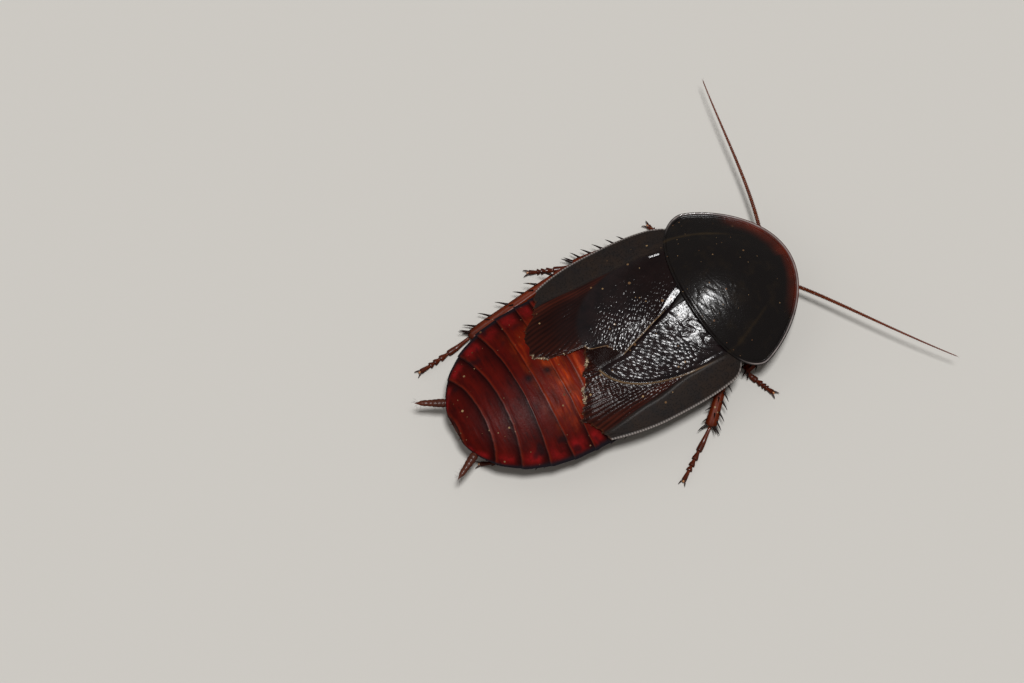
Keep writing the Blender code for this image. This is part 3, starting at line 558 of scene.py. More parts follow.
STERNITE_SHELL = shell_material(
    "sternite_shell", (0.03, 0.005, 0.004), (0.13, 0.02, 0.009), 0.34, edge=(0.012, 0.008, 0.008), coat=0.2
)
for number, (ahead, behind) in enumerate(zip(STERNITE_REARS, STERNITE_REARS[1:]), start=1):
    plate = give_wall(warped_grid(70, 22, sternite_place(ahead, behind), TINT_EDGE), -STERNITE_WALL)
    if behind == STERNITE_REARS[-1]:
        for sign in (1, -1):
            root, outwards = Vector((sign * PEG_ROOT[0], *PEG_ROOT[1:])), Vector((sign * 0.3, 1, -0.1))
            join(plate, thorn(root, outwards, PEG_LENGTH, PEG_HALF, Vector(), 8, 6, (0.8, 0), TINT_EDGE))
    sternite = shown(plate, f"sternite_{number}", STERNITE_SHELL)
    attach(sternite, "root")
    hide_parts("abdomen")

# The cerci, a pair of short ringed feelers beside the tail: red-brown and spindle-shaped, with long fine
# bristles, and rooted under the last back plate.
CERCUS_ROOT, CERCUS_TIP = Vector((1.75, 24.3, 2.32)), Vector((3.0, 26.6, 2.3))
CERCUS_HALF, CERCUS_SWELL = 0.3, ((0, 0.5), (0.3, 1.0), (0.75, 0.7), (1, 0.12))
CERCUS_RINGS = 9
CERCUS_BRISTLES, BRISTLE_HALF = 36, 0.012
CERCUS_SHELL = shell_material(
    "cercus_shell", (0.02, 0.006, 0.004), (0.1, 0.022, 0.009), 0.42, flecks=False, shine=0.2
)


def cercus_girth(t, turn):
    ring = 0.9 + 0.1 * abs(math.sin(math.pi * CERCUS_RINGS * t))
    half = CERCUS_HALF * ring * read_curve(CERCUS_SWELL, t) * min(1, 30 * (1 - t)) * min(1, 50 * t)
    return half, half * 0.75, 0.3 + 0.5 * t


for side, sign in (("left", 1), ("right", -1)):
    mirrored = Vector((sign, 1, 1))
    path = straight(CERCUS_ROOT * mirrored, CERCUS_TIP * mirrored)
    cercus_bm = limb(path, cercus_girth, 20, 110, TINT, crowded_ends=False)
    draw = random.Random(5)
    for _ in range(CERCUS_BRISTLES):
        t = draw.uniform(0.25, 0.97)
        turn = draw.uniform(0, 2 * math.pi)
        out = Vector((math.cos(turn), 0.35, math.sin(turn)))
        root = path(t) + out * CERCUS_HALF * 0.5
        length, droop = draw.uniform(0.2, 0.4), Vector((0, 0.1, 0))
        join(cercus_bm, thorn(root, out, length, BRISTLE_HALF, droop, 4, 3, (0.1,), TINT))
    cercus = shown(cercus_bm, "cercus_skin_" + side, CERCUS_SHELL)
    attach(cercus, "root")
    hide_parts("cercus_" + side)

# The head, tucked under the shield with the face forward and down and the mouth to the rear: a smooth dark
# capsule of horny shell, redder at the mouth, with the face plate and upper lip marked off by grooves.
HEAD_CROWN, HEAD_MOUTH = (0, 1.5, 3.02), (0, 3.35, 0.85)
HEAD_WIDTHS = (
    (0, 0.0), (0.05, 0.75), (0.15, 1.1), (0.4, 1.26), (0.62, 1.36), (0.78, 1.15), (0.92, 0.72), (1, 0.0)
)
HEAD_DEPTHS = (
    (0, 0.0), (0.05, 0.42), (0.2, 0.72), (0.45, 0.8), (0.65, 0.74), (0.85, 0.5), (0.95, 0.3), (1, 0.0)
)


def head_girth(t, turn):
    wide, deep = read_curve(HEAD_WIDTHS, t), read_curve(HEAD_DEPTHS, t)
    face = max(0.0, math.sin(turn))
    groove = 0.05 * face * (hump(t, 0.68, 0.012) + hump(t, 0.84, 0.012))
    cheek = 0.04 * hump(t, 0.6, 0.03) * (1 - face)
    tint = 0.15 + 0.65 * ease(t, 0.6, 0.95) + 0.3 * hump(t, 0.3, 0.07) * hump(abs(math.cos(turn)), 0.62, 0.12)
    return wide * (1 - groove - cheek), deep * (1 - 2 * groove), tint


head_shell = shell_material(
    "head_shell", (0.022, 0.008, 0.006), (0.2, 0.06, 0.025), 0.26, pits=9.0, flecks=False
)
head_bm = limb(straight(HEAD_CROWN, HEAD_MOUTH), head_girth, 72, 110, TINT, up=Vector((0, -1, 0)))
head = shown(head_bm, "head_capsule", head_shell)
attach(head, "root")
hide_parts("head")

# The mouth parts: a pair of hooked jaws behind the upper lip, and two pairs of jointed palps, amber-brown and
# downy, that hang beside them.
JAW_PATH = ((0.55, 2.75, 1.15), (0.75, 2.95, 0.8), (0.6, 3.25, 0.5), (0.12, 3.35, 0.55))
JAW_HALF = (0.26, 0.2)
LONG_PALP = ((0.8, 2.75, 1.15), (1.5, 1.95, 1.05), (1.85, 1.45, 0.85), (1.4, 1.1, 0.45))
SHORT_PALP = ((0.3, 3.3, 0.95), (0.55, 3.1, 0.4), (0.75, 2.7, 0.35), (0.8, 2.3, 0.4))
LONG_PALP_HALF, LONG_PALP_JOINTS = 0.17, (0.0, 0.1, 0.22, 0.5, 0.76, 1.0)
SHORT_PALP_HALF, SHORT_PALP_JOINTS = 0.12, (0.0, 0.1, 0.22, 0.5, 1.0)
JOINT_SWELL, JOINT_SLIM = 0.22, 0.62


def jaw_girth(t, turn):
    left_over = (1 - t) ** 0.5 * min(1, 40 * t)
    return JAW_HALF[0] * left_over, JAW_HALF[1] * left_over, 0.1


def jointed_girth(joints, half):
    """Girth of a chain of joints, each slim at its root and widest near its end, and all rounded off."""

    def girth(t, turn):
        for a, b in zip(joints, joints[1:]):
            if t <= b:
                break
        s = clamp01((t - a) / (b - a))
        shape = JOINT_SLIM + (1 - JOINT_SLIM) * math.sin(math.pi * clamp01(0.12 + 0.76 * s)) ** 0.7
        shape += JOINT_SWELL * hump(s, 0.85, 0.2)
        shape *= math.sqrt(clamp01(s / 0.06 + 0.15)) * math.sqrt(clamp01((1 - s) / 0.06 + 0.15))
        closing = min(1, 200 * t) * min(1, 200 * (1 - t))
        return half * shape * closing, half * shape * closing, 0.35 + 0.4 * s

    return girth


mouth_shell = shell_material("mouth_shell", (0.09, 0.03, 0.012), (0.42, 0.17, 0.06), 0.38, flecks=False)
mouth_bm = bmesh.new()
mouth_bm.verts.layers.float.new("tint")
for sign in (1, -1):
    mirrored = Vector((sign, 1, 1))
    jaw = bent(*(Vector(point) * mirrored for point in JAW_PATH))
    join(mouth_bm, limb(jaw, jaw_girth, 14, 26, TINT))
    for points, joints, half, sides, rings in (
        (LONG_PALP, LONG_PALP_JOINTS, LONG_PALP_HALF, 14, 120),
        (SHORT_PALP, SHORT_PALP_JOINTS, SHORT_PALP_HALF, 12, 90),
    ):
        palp = bent(*(Vector(point) * mirrored for point in points))
        join(mouth_bm, limb(palp, jointed_girth(joints, half), sides, rings, TINT, crowded_ends=False))
mouth = shown(mouth_bm, "mouth_parts", mouth_shell)
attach(mouth, "root")
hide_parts("head")

# The eyes: black, kidney-shaped and very glossy, wrapped round the sides of the head and finely faceted. A
# pale simple eye (ocellus) lies inside each, above the feeler's socket.
EYE_CENTRE, EYE_SIZE, EYE_TILT = (1.02, 2.0, 2.32), (0.62, 0.52, 0.92), math.radians(38)
OCELLUS_CENTRE, OCELLUS_SIZE = (0.56, 1.36, 2.3), 0.11
FACETS_PER_MM, FACET_DEPTH = 28.0, 0.006

eye_material, eye_tree, eye_shader = new_material("eye")
eye_coords = put(eye_tree, "ShaderNodeTexCoord").outputs["Object"]
facet_places = {"Vector": eye_coords, "Scale": FACETS_PER_MM / MM}
facet = put(eye_tree, "ShaderNodeTexVoronoi", facet_places, feature="F1").outputs["Distance"]
facet_colour = mixed(eye_tree, facet, (0.012, 0.01, 0.009), (0.003, 0.003, 0.003))
eye_tree.links.new(facet_colour, eye_shader.inputs["Base Color"])
eye_shader.inputs["Roughness"].default_value = 0.14
facet_relief = {"Height": facet, "Strength": 0.3, "Distance": FACET_DEPTH * MM}
facet_bump = put(eye_tree, "ShaderNodeBump", facet_relief, invert=True)
eye_tree.links.new(facet_bump.outputs[0], eye_shader.inputs["Normal"])
for side, sign in (("left", 1), ("right", -1)):
    eye_bm = bmesh.new()
    bmesh.ops.create_uvsphere(eye_bm, u_segments=48, v_segments=32, radius=1)
    bmesh.ops.scale(eye_bm, verts=eye_bm.verts[:], vec=EYE_SIZE)
    bmesh.ops.rotate(eye_bm, verts=eye_bm.verts[:], cent=(0, 0, 0), matrix=Matrix.Rotation(EYE_TILT, 3, "X"))
    bmesh.ops.translate(eye_bm, verts=eye_bm.verts[:], vec=(sign * EYE_CENTRE[0], *EYE_CENTRE[1:]))
    eye = shown(eye_bm, "eye_ball_" + side, eye_material)
    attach(eye, "root")
    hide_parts("eye_" + side)
ocelli_bm = bmesh.new()
for sign in (1, -1):
    bead = bmesh.new()
    bmesh.ops.create_uvsphere(bead, u_segments=20, v_segments=12, radius=OCELLUS_SIZE)
    bmesh.ops.translate(bead, verts=bead.verts[:], vec=(sign * OCELLUS_CENTRE[0], *OCELLUS_CENTRE[1:]))
    join(ocelli_bm, bead)
ocellus_shell = shell_material("ocellus", (0.2, 0.12, 0.05), (0.34, 0.22, 0.1), 0.2, flecks=False)
ocelli = shown(ocelli_bm, "ocelli", ocellus_shell)
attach(ocelli, "root")

# The feelers: a stout first joint (scape) in a socket of the face, a small second one (pedicel), and a long
# whip of many beads, amber-brown, each bead widest at its far end with a collar of short bristles.
FEELERS = {
    "left": ((0.72, 1.5, 1.75), (4.0, -0.25, 1.9), (9.5, -0.35, 2.5), (13.9, -1.2, 1.9)),
    "right": ((-0.72, 1.5, 1.75), (-2.4, -0.3, 1.9), (-6.9, -2.75, 2.5), (-11.3, -6.45, 1.9)),
}
FEELER_BEADS, BEAD_RINGS = 94, 5
FEELER_HALF, FEELER_TIP_HALF, FEELER_TAPER = 0.15, 0.035, 1.6
SCAPE_END, PEDICEL_END = 0.065, 0.085
SCAPE_HALF, PEDICEL_HALF = 0.27, 0.2
COLLAR_BRISTLES, COLLAR_LENGTH, COLLAR_HALF = 3, 0.11, 0.007


def bristle(root, direction, length, half, shades, masks):
    """A straight thorn so fine that it needs few sides."""
    return thorn(root, direction, length, half, Vector(), 4, 2, shades, masks)


def whip_half(share):
    return FEELER_HALF + (FEELER_TIP_HALF - FEELER_HALF) * share**FEELER_TAPER


def feeler_girth(t, turn):
    if t < SCAPE_END:
        s = t / SCAPE_END
        half = SCAPE_HALF * (0.72 + 0.5 * s * (1.4 - s)) * min(1, 20 * s)
        half *= math.sqrt(clamp01((1 - s) / 0.12 + 0.2))
        return half, half, 0.1
    if t < PEDICEL_END:
        s = (t - SCAPE_END) / (PEDICEL_END - SCAPE_END)
        half = PEDICEL_HALF * (0.65 + 0.35 * math.sin(math.pi * s))
        return half, half, 0.15
    s = (t - PEDICEL_END) / (1 - PEDICEL_END)
    bead = (s * FEELER_BEADS) % 1
    half = whip_half(s) * (0.56 + 0.44 * ease(bead, 0.0, 0.6)) * (1 - 0.44 * ease(bead, 0.84, 1.0))
    half *= min(1, 60 * (1 - t))
    return half, half, 0.25 + 0.6 * ease(bead, 0.1, 0.7) + 0.15 * s


FEELER_SHELL = shell_material("feeler_shell", (0.02, 0.003, 0.002), (0.17, 0.032, 0.008), 0.3, flecks=False)
for side, points in FEELERS.items():
    path = bent(*points)
    feeler_bm = limb(path, feeler_girth, 12, FEELER_BEADS * BEAD_RINGS, TINT, crowded_ends=False)
    draw = random.Random(3)
    for bead in range(2, FEELER_BEADS):
        t = PEDICEL_END + (1 - PEDICEL_END) * (bead + 0.78) / FEELER_BEADS
        ahead = (path(min(t + 0.01, 1)) - path(t - 0.01)).normalized()
        around = ahead.cross(UP).normalized()
        half = whip_half(bead / FEELER_BEADS) * 0.8
        for k in range(COLLAR_BRISTLES):
            out = Matrix.Rotation(2 * math.pi * (k + draw.random()) / COLLAR_BRISTLES, 3, ahead) @ around
            root, lean = path(t) + out * half, out + ahead * 1.3
            join(feeler_bm, bristle(root, lean, COLLAR_LENGTH, COLLAR_HALF, (0.2,), TINT))
    feeler = shown(feeler_bm, "feeler_" + side, FEELER_SHELL)
    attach(feeler, "root")
    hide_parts("antenna_" + side)

# The six legs, glossy mahogany shell. Each has a broad flat hip joint (coxa) along the underside, a thigh
# (femur), a shank (tibia) armed with black thorns, and a foot of five joints with pale pads and two hooked
# claws. A leg is given by its hip, the coxa's end, the thigh's start, the knee, the ankle and the toe.
LEGS = {
    "front_left": (
        (2.3, 3.5, 1.75), (0.85, 4.9, 1.3), (1.15, 6.0, 1.3), (4.7, 4.2, 1.75), (5.3, 5.95, 0.55),
        (7.0, 6.75, 0.3),
    ),
    "front_right": (
        (-2.3, 3.5, 1.75), (-0.85, 4.9, 1.3), (-1.15, 6.0, 1.3), (-4.7, 4.2, 1.75), (-4.95, 6.1, 0.55),
        (-7.1, 5.2, 0.3),
    ),
    "mid_left": (
        (3.3, 6.2, 1.75), (0.95, 8.0, 1.3), (1.15, 8.9, 1.25), (6.1, 8.4, 1.75), (6.9, 12.6, 0.55),
        (7.95, 15.3, 0.3),
    ),
    "mid_right": (
        (-3.2, 6.1, 1.75), (-0.95, 8.0, 1.3), (-1.15, 9.0, 1.25), (-4.95, 7.75, 1.75), (-7.3, 10.05, 0.55),
        (-9.6, 13.3, 0.3),
    ),
    "hind_left": (
        (3.5, 9.9, 1.7), (0.95, 11.7, 1.25), (1.15, 12.6, 1.2), (6.5, 13.3, 1.65), (5.75, 21.0, 0.55),
        (5.3, 24.9, 0.3),
    ),
    "hind_right": (
        (-3.5, 9.9, 1.7), (-0.95, 11.7, 1.25), (-1.15, 12.6, 1.2), (-5.0, 13.9, 1.5), (-3.6, 21.0, 0.55),
        (-2.2, 24.5, 0.3),
    ),
}
COXA_HALF = {"front": (0.78, 0.45), "mid": (0.98, 0.48), "hind": (1.15, 0.5)}
FEMUR_HALF = {"front": (0.56, 0.4), "mid": (0.62, 0.42), "hind": (0.7, 0.42)}
TIBIA_HALF = {"front": (0.27, 0.22), "mid": (0.33, 0.25), "hind": (0.37, 0.27)}
THIGH_THORN_PLACES, THIGH_THORN_LENGTH, THIGH_THORN_HALF = (0.55, 0.7, 0.85), 0.34, 0.07
# The shank's thorns stand in rows: turn about the shank in degrees, how many, share of the full length, and
# the share of the shank at which the last one stands. More stand round its end.
THORN_LENGTH = {"front": 0.6, "mid": 0.78, "hind": 0.85}
THORN_ROWS = {
    "front": ((15, 3, 0.9, 0.6), (75, 2, 0.6, 0.7), (165, 3, 0.8, 0.8)),
    "mid": ((10, 5, 1.0, 0.84), (-68, 4, 0.7, 0.86), (175, 4, 0.75, 0.82), (78, 3, 0.5, 0.72)),
    "hind": ((10, 6, 1.0, 0.87), (-68, 5, 0.7, 0.86), (180, 5, 0.75, 0.86), (75, 4, 0.5, 0.75)),
}
END_THORNS = {"front": (0, 60, 150, 215), "mid": (10, 50, 150, 200, -40), "hind": (10, 50, 150, 200, -40)}
THORN_HALF, THORN_CLEARANCE = 0.125, 0.08
FOOT_JOINTS = (0.0, 0.44, 0.6, 0.72, 0.81, 1.0)
FOOT_HALF, CLAW_LENGTH, CLAW_HALF, PAD_RADIUS = 0.2, 0.4, 0.065, 0.1
SHANK_BRISTLES_PER_MM, FOOT_BRISTLES_PER_MM = 16, 14

LEG_SHELL = shell_material(
    "leg_shell", (0.025, 0.004, 0.002), (0.15, 0.02, 0.004), 0.32, depth=0.003, coat=0.0,
    edge=(0.014, 0.006, 0.005), shine=0.16,
)
FOOT_SHELL = shell_material(
    "foot_shell", (0.03, 0.005, 0.003), (0.13, 0.022, 0.006), 0.28, coat=0.08, edge=(0.42, 0.18, 0.07)
)


def spindle(t, swell):
    return read_curve(swell, t) * math.sqrt(clamp01(t / 0.03)) * math.sqrt(clamp01((1 - t) / 0.03))


def coxa_girth(half):
    def girth(t, turn):
        shape = spindle(t, ((0, 0.75), (0.25, 1.0), (0.6, 0.92), (0.9, 0.5), (1, 0.36)))
        groove = 1 - 0.07 * hump(math.cos(turn), 0.45, 0.09) * ease(t, 0.05, 0.2)
        shades = 0.4 + 0.3 * math.sin(turn * 2), hump(t, 0.97, 0.05)
        return half[0] * shape * groove, half[1] * shape * groove, *shades

    return girth


def femur_girth(half):
    def girth(t, turn):
        swell = ((0, 0.45), (0.1, 0.62), (0.14, 0.55), (0.4, 1.0), (0.75, 0.82), (0.93, 0.55), (1, 0.5))
        shape = spindle(t, swell)
        keel = 1 - 0.18 * hump(math.sin(turn), -1, 0.25)
        joint = 0.7 * hump(t, 1.0, 0.04) + 0.7 * hump(t, 0.125, 0.02)
        # The tint is painted lighter on the thigh's upper side: painted light from above.
        return half[0] * shape, half[1] * shape * keel, 0.45 + 0.35 * math.sin(turn), joint

    return girth


def tibia_girth(half):
    def girth(t, turn):
        shape = spindle(t, ((0, 0.72), (0.06, 0.8), (0.45, 0.95), (0.9, 1.12), (1, 1.05)))
        ribbed = 1 + 0.07 * math.cos(6 * turn) - 0.05 * hump(t, 0.05, 0.02)
        joint = 0.6 * hump(t, 0.0, 0.03) + 0.5 * hump(t, 1.0, 0.03)
        # Darker at the shank's end, and painted lighter on its upper side: painted light from above.
        tint = 0.62 - 0.3 * ease(t, 0.75, 1.0) + 0.15 * math.sin(turn)
        return half[0] * shape * ribbed, half[1] * shape * ribbed, tint, joint

    return girth


def foot_path(ankle, toe):
    def path(t):
        spot = Vector(ankle).lerp(Vector(toe), t)
        low = FOOT_HALF * 1.12  # keeps the pads on the floor
        spot.z = low + (ankle[2] - low) * (1 - ease(t, 0.0, 0.3)) + 0.09 * ease(t, 0.8, 1.0)
        return spot

    return path


def foot_girth(t, turn):
    for number, (a, b) in enumerate(zip(FOOT_JOINTS, FOOT_JOINTS[1:])):
        if t <= b:
            break
    s = clamp01((t - a) / (b - a))
    shape = 0.55 + 0.45 * ease(s, 0.1, 0.85)
    if number == 4:
        shape = 0.5 + 0.35 * s
    shape *= math.sqrt(clamp01(s / 0.05 + 0.2)) * math.sqrt(clamp01((1 - s) / 0.05 + 0.2))
    shape *= min(1, 200 * t) * min(1, 120 * (1 - t))
    pad = ease(math.sin(turn), -0.4, -0.9) * ease(s, 0.45, 0.8) * (number < 4)
    return FOOT_HALF * 1.05 * shape, FOOT_HALF * (shape + 0.12 * pad), 0.25 + 0.45 * (1 - s), 0.85 * pad


def claw_girth(t, turn):
    thick = CLAW_HALF * (1 - t) ** 0.7 * min(1, 30 * t)
    return thick, thick, 0.0, 0.0


for leg, places in LEGS.items():
    pair = leg.split("_")[0]
    hip, coxa_end, femur_start, knee, ankle, toe = (Vector(place) for place in places)
    draw = random.Random(leg)

    coxa_bm = limb(straight(hip, coxa_end), coxa_girth(COXA_HALF[pair]), 36, 44, TINT_EDGE)
    coxa = shown(coxa_bm, "hip_joint_" + leg, LEG_SHELL)
    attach(coxa, "root")
    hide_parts("coxa_" + leg)

    middle = (femur_start + knee) / 2 + Vector((0, 0, 0.12))
    femur_path = bent(coxa_end, femur_start, middle, knee)
    femur_bm = limb(femur_path, femur_girth(FEMUR_HALF[pair]), 36, 60, TINT_EDGE)
    backwards = Vector((0, 1, -0.5))
    lean = backwards + (knee - hip).normalized()
    for share in THIGH_THORN_PLACES:
        root = femur_path(share) + backwards.normalized() * FEMUR_HALF[pair][1] * 0.8
        armed = thorn(root, lean, THIGH_THORN_LENGTH, THIGH_THORN_HALF, Vector(), 7, 5, (0.1, 0.9), TINT_EDGE)
        join(femur_bm, armed)
    femur = shown(femur_bm, "thigh_" + leg, LEG_SHELL)
    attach(femur, "root")
    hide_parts("femur_" + leg)

    half = TIBIA_HALF[pair]
    run = ankle - knee
    ahead = run.normalized()
    outward = ahead.cross(UP).normalized()
    if outward.x * hip.x < 0:
        outward = -outward
    upward = (UP - ahead * ahead.z).normalized()
    bow = outward * 0.06
    tibia_path = bent(knee, knee + run * 0.3 + bow, knee + run * 0.7 + bow, ankle)
    tibia_bm = limb(tibia_path, tibia_girth(half), 30, 60, TINT_EDGE)
    thorns = []
    for row, (degrees, count, scale, last) in enumerate(THORN_ROWS[pair]):
        first = 0.12 + 0.045 * (row % 3)
        for k in range(count):
            share = first + (last - first) * k / (count - 1) + draw.uniform(-0.015, 0.015)
            thorns.append((share, degrees + draw.uniform(-9, 9), scale * draw.uniform(0.8, 1.1)))
    thorns += [(0.965, degrees, draw.uniform(0.7, 1.0)) for degrees in END_THORNS[pair]]
    for share, degrees, scale in thorns:
        turn = math.radians(degrees)
        radial = outward * math.cos(turn) * half[0] + upward * math.sin(turn) * half[1]
        root = tibia_path(share) + radial * 0.85
        length = THORN_LENGTH[pair] * scale
        leaning = (radial.normalized() + ahead * draw.uniform(0.7, 1.0)).normalized()
        leaning.z = max(leaning.z, (THORN_CLEARANCE - root.z) / length)
        stout, droop = THORN_HALF * scale**0.4, ahead * 0.14 * length
        join(tibia_bm, thorn(root, leaning, length, stout, droop, 9, 8, (0.05, 1.0), TINT_EDGE))
    for _ in range(int(run.length * SHANK_BRISTLES_PER_MM)):
        share, turn = draw.uniform(0.05, 0.97), draw.uniform(0, 2 * math.pi)
        radial = outward * math.cos(turn) * half[0] + upward * math.sin(turn) * half[1]
        root, lean = tibia_path(share) + radial * 0.9, radial.normalized() + ahead * 1.6
        join(tibia_bm, bristle(root, lean, draw.uniform(0.1, 0.2), 0.011, (0.5, 0.3), TINT_EDGE))
    tibia = shown(tibia_bm, "shank_" + leg, LEG_SHELL)
    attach(tibia, "root")
    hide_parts("tibia_" + leg)

    path = foot_path(ankle, toe)
    foot_bm = limb(path, foot_girth, 18, 150, TINT_EDGE, crowded_ends=False)
    ahead = Vector((toe.x - ankle.x, toe.y - ankle.y, 0)).normalized()
    aside = ahead.cross(UP)
    for sign in (1, -1):
        root = path(0.985) + aside * sign * 0.06
        spread = aside * sign * CLAW_LENGTH
        claw = bent(
            root, root + ahead * CLAW_LENGTH * 0.5 + spread * 0.2 + UP * 0.07,
            root + ahead * CLAW_LENGTH * 0.95 + spread * 0.4 + UP * 0.02,
            root + ahead * CLAW_LENGTH * 1.05 + spread * 0.45 - UP * 0.17,
        )
        join(foot_bm, limb(claw, claw_girth, 10, 16, TINT_EDGE))
    pad = bmesh.new()
    pad_layers = [pad.verts.layers.float.new(name) for name in TINT_EDGE]
    bmesh.ops.create_uvsphere(pad, u_segments=16, v_segments=10, radius=PAD_RADIUS)
    bmesh.ops.translate(pad, verts=pad.verts[:], vec=path(1.0) + ahead * 0.06 - UP * 0.05)
    for vert in pad.verts:
        vert[pad_layers[1]] = 1.0
    join(foot_bm, pad)
    for _ in range(int((toe - ankle).length * FOOT_BRISTLES_PER_MM)):
        t, turn = draw.uniform(0.03, 0.97), draw.uniform(0, 2 * math.pi)
        radial = aside * math.cos(turn) + UP * math.sin(turn)
        if radial.z > -0.2:
            root, lean = path(t) + radial * FOOT_HALF * 0.7, radial + ahead * 1.2
            join(foot_bm, bristle(root, lean, 0.13, 0.01, (0.0, 0.0), TINT_EDGE))
    foot = shown(foot_bm, "foot_" + leg, FOOT_SHELL)
    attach(foot, "root")
    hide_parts("tarsus_" + leg)

# The forewings (tegmina): stiff black leather, the left lying over the right. The middle disc is grainy,
# veins fan out behind it, and past a short rib at the shoulder the outer field is flat, with a pale beaded
# rim whose paleness is partly a painted highlight, brightest on the bead crests. They slide in under the
# shield, whose sizes come first, and both are worn off and frayed behind.
SHIELD_LENGTH, SHIELD_HALF_WIDTH, SHIELD_WIDEST_Y = 8.15, 5.9, 5.15
SHIELD_RIM_Z, SHIELD_DOME, SHIELD_FULL_Y = 2.95, 3.05, 6.4
SHIELD_FALL_Y, SHIELD_FALL, SHIELD_REAR_WALL = 6.2, 0.073, 0.1
WING_HALF_WIDTH, WING_WIDEST_Y, WING_SHOULDER_Y, WING_REAR_Y = 6.3, 12.3, 6.2, 16.0
SHOULDER_END_Y, SHOULDER_REACH, SHOULDER_ROUND = 7.6, 1.05, {"left": 0.2, "right": 0.75}
WING_EDGE_Z, WING_CROWN, WING_CROWN_FALL = 3.1, 2.37, 0.083
RIGHT_FLAT = 0.52
WING_TUCK, WING_WALL, WORN_WALL = 0.9, 0.09, 0.04
SEAM_START, SEAM_SLOPE, SEAM_END_Y = (0.3, 8.2), -0.33, 13.35
LEFT_LIFT, RIGHT_DIP = 0.08, 0.06
RIGHT_INNER_X = 0.78
# The torn rear edges as (share of the way from the inner to the outer edge, y).
WORN_END = {
    "left": (
        (0.0, 13.35), (0.13, 13.95), (0.2, 15.15), (0.23, 15.3), (0.28, 16.7), (0.36, 18.0), (0.45, 18.6),
        (0.55, 18.7), (0.66, 18.65), (0.74, 18.1), (0.82, 16.9), (0.93, 16.4), (1.0, 16.0),
    ),
    "right": (
        (0.0, 15.2), (0.19, 15.65), (0.33, 16.45), (0.51, 16.9), (0.7, 17.5), (0.77, 17.8), (0.81, 17.3),
        (0.91, 16.85), (1.0, 16.6),
    ),
}
FURROW_HALF_WIDTH, FURROW_LENGTH, FURROW_Y, FURROW_SQUARENESS = 4.4, 7.75, 7.5, 2.6
FIELD_EDGE = {
    "left": ((7.0, 3.75), (10.0, 4.15), (13.0, 4.3), (16.5, 4.6)),
    "right": ((7.0, 4.32), (10.0, 4.38), (13.0, 4.75), (16.5, 5.0)),
}
# Pale stains along the tears as (share, spread, strength), and loose crumbs as (share, spread, how many).
CREAM_SPOTS = {
    "left": ((0.4, 0.04, 0.45), (0.47, 0.02, 0.4)),
    "right": ((0.206, 0.025, 1.0), (0.41, 0.04, 0.8), (0.55, 0.03, 1.0)),
}
CRUMBS = {
    "left": ((0.21, 0.04, 4), (0.4, 0.05, 16)),
    "right": ((0.206, 0.025, 26), (0.41, 0.04, 24), (0.55, 0.035, 30)),
}
FRAY_COUNT = 190
NOTCH = (0.17, 0.05)
VEIN_ROOT, VEINS_PER_TURN = (3.9, 6.6), 230
GRAINS_PER_MM, GRAIN_STRETCH = {"left": 5.4, "right": 4.2}, 0.6
GRAIN_DEPTH, PIT_DEPTH = 0.15, 0.012
RIB_SLOPE, RIB_WIDTH = {"left": 0.75, "right": 0.36}, 0.13
RIM_BEAD_RATE, RIM_RISE = 34, 0.05
FURROW_DEPTH, WRINKLE_DEPTH, VEIN_RISE = 0.05, 0.055, 0.007
WING_MASKS = ("field", "matt", "rim", "torn", "red", "line", "cream", "grainy", "grain_u", "grain_v")


def shield_half_width(y):
    if y < SHIELD_WIDEST_Y:
        return SHIELD_HALF_WIDTH * math.sqrt(1 - clamp01((SHIELD_WIDEST_Y - y) / SHIELD_WIDEST_Y) ** 1.3)
    behind = clamp01((y - SHIELD_WIDEST_Y) / (SHIELD_LENGTH - SHIELD_WIDEST_Y))
    return SHIELD_HALF_WIDTH * math.sqrt(1 - behind**2)


def shield_rear_y(x):
    reach = SHIELD_LENGTH - SHIELD_WIDEST_Y
    return SHIELD_WIDEST_Y + reach * math.sqrt(1 - clamp01(abs(x) / SHIELD_HALF_WIDTH) ** 2)


def shield_top(x, y):
    half = shield_half_width(y) if y < SHIELD_WIDEST_Y else SHIELD_HALF_WIDTH
    across = clamp01(abs(x) / half) if half > 0 else 0.0
    along = math.sin(math.pi / 2 * clamp01(y / SHIELD_FULL_Y)) ** 0.78
    fall = SHIELD_FALL * max(0.0, y - SHIELD_FALL_Y) ** 2
    return SHIELD_RIM_Z + (SHIELD_DOME * along - fall) * (1 - across**2) ** 1.08


def lesser(a, b, blend):
    """The lesser of two heights, with the corner between them rounded."""
    share = clamp01(0.5 + 0.5 * (b - a) / blend)
    return b + (a - b) * share - blend * share * (1 - share)


def wing_outer_x(y, side="right"):
    if y > WING_WIDEST_Y:
        return WING_HALF_WIDTH * (1 - 0.08 * ((y - WING_WIDEST_Y) / (WING_REAR_Y - WING_WIDEST_Y)) ** 2)
    wide = WING_HALF_WIDTH * (1 - 0.12 * ((WING_WIDEST_Y - y) / (WING_WIDEST_Y - WING_SHOULDER_Y)) ** 3)
    rounding = clamp01((SHOULDER_END_Y - y) / SHOULDER_REACH)
    return wide - SHOULDER_ROUND[side] * (1 - math.sqrt(1 - rounding**2))


def seam_x(y):
    bend = 0.14 * clamp01((9.4 - y) / 1.25) ** 1.3
    return SEAM_START[0] + SEAM_SLOPE * (min(y, SEAM_END_Y) - SEAM_START[1]) + bend


def wing_dome(x, y):
    across = clamp01(abs(x) / wing_outer_x(max(y, 7.0)))
    crown = WING_CROWN - WING_CROWN_FALL * max(0.0, y - 8.0)
    bowed = 1 - across**2
    return WING_EDGE_Z + crown * (bowed if x > 0 else lesser(bowed, 1 - RIGHT_FLAT * across, 0.06))


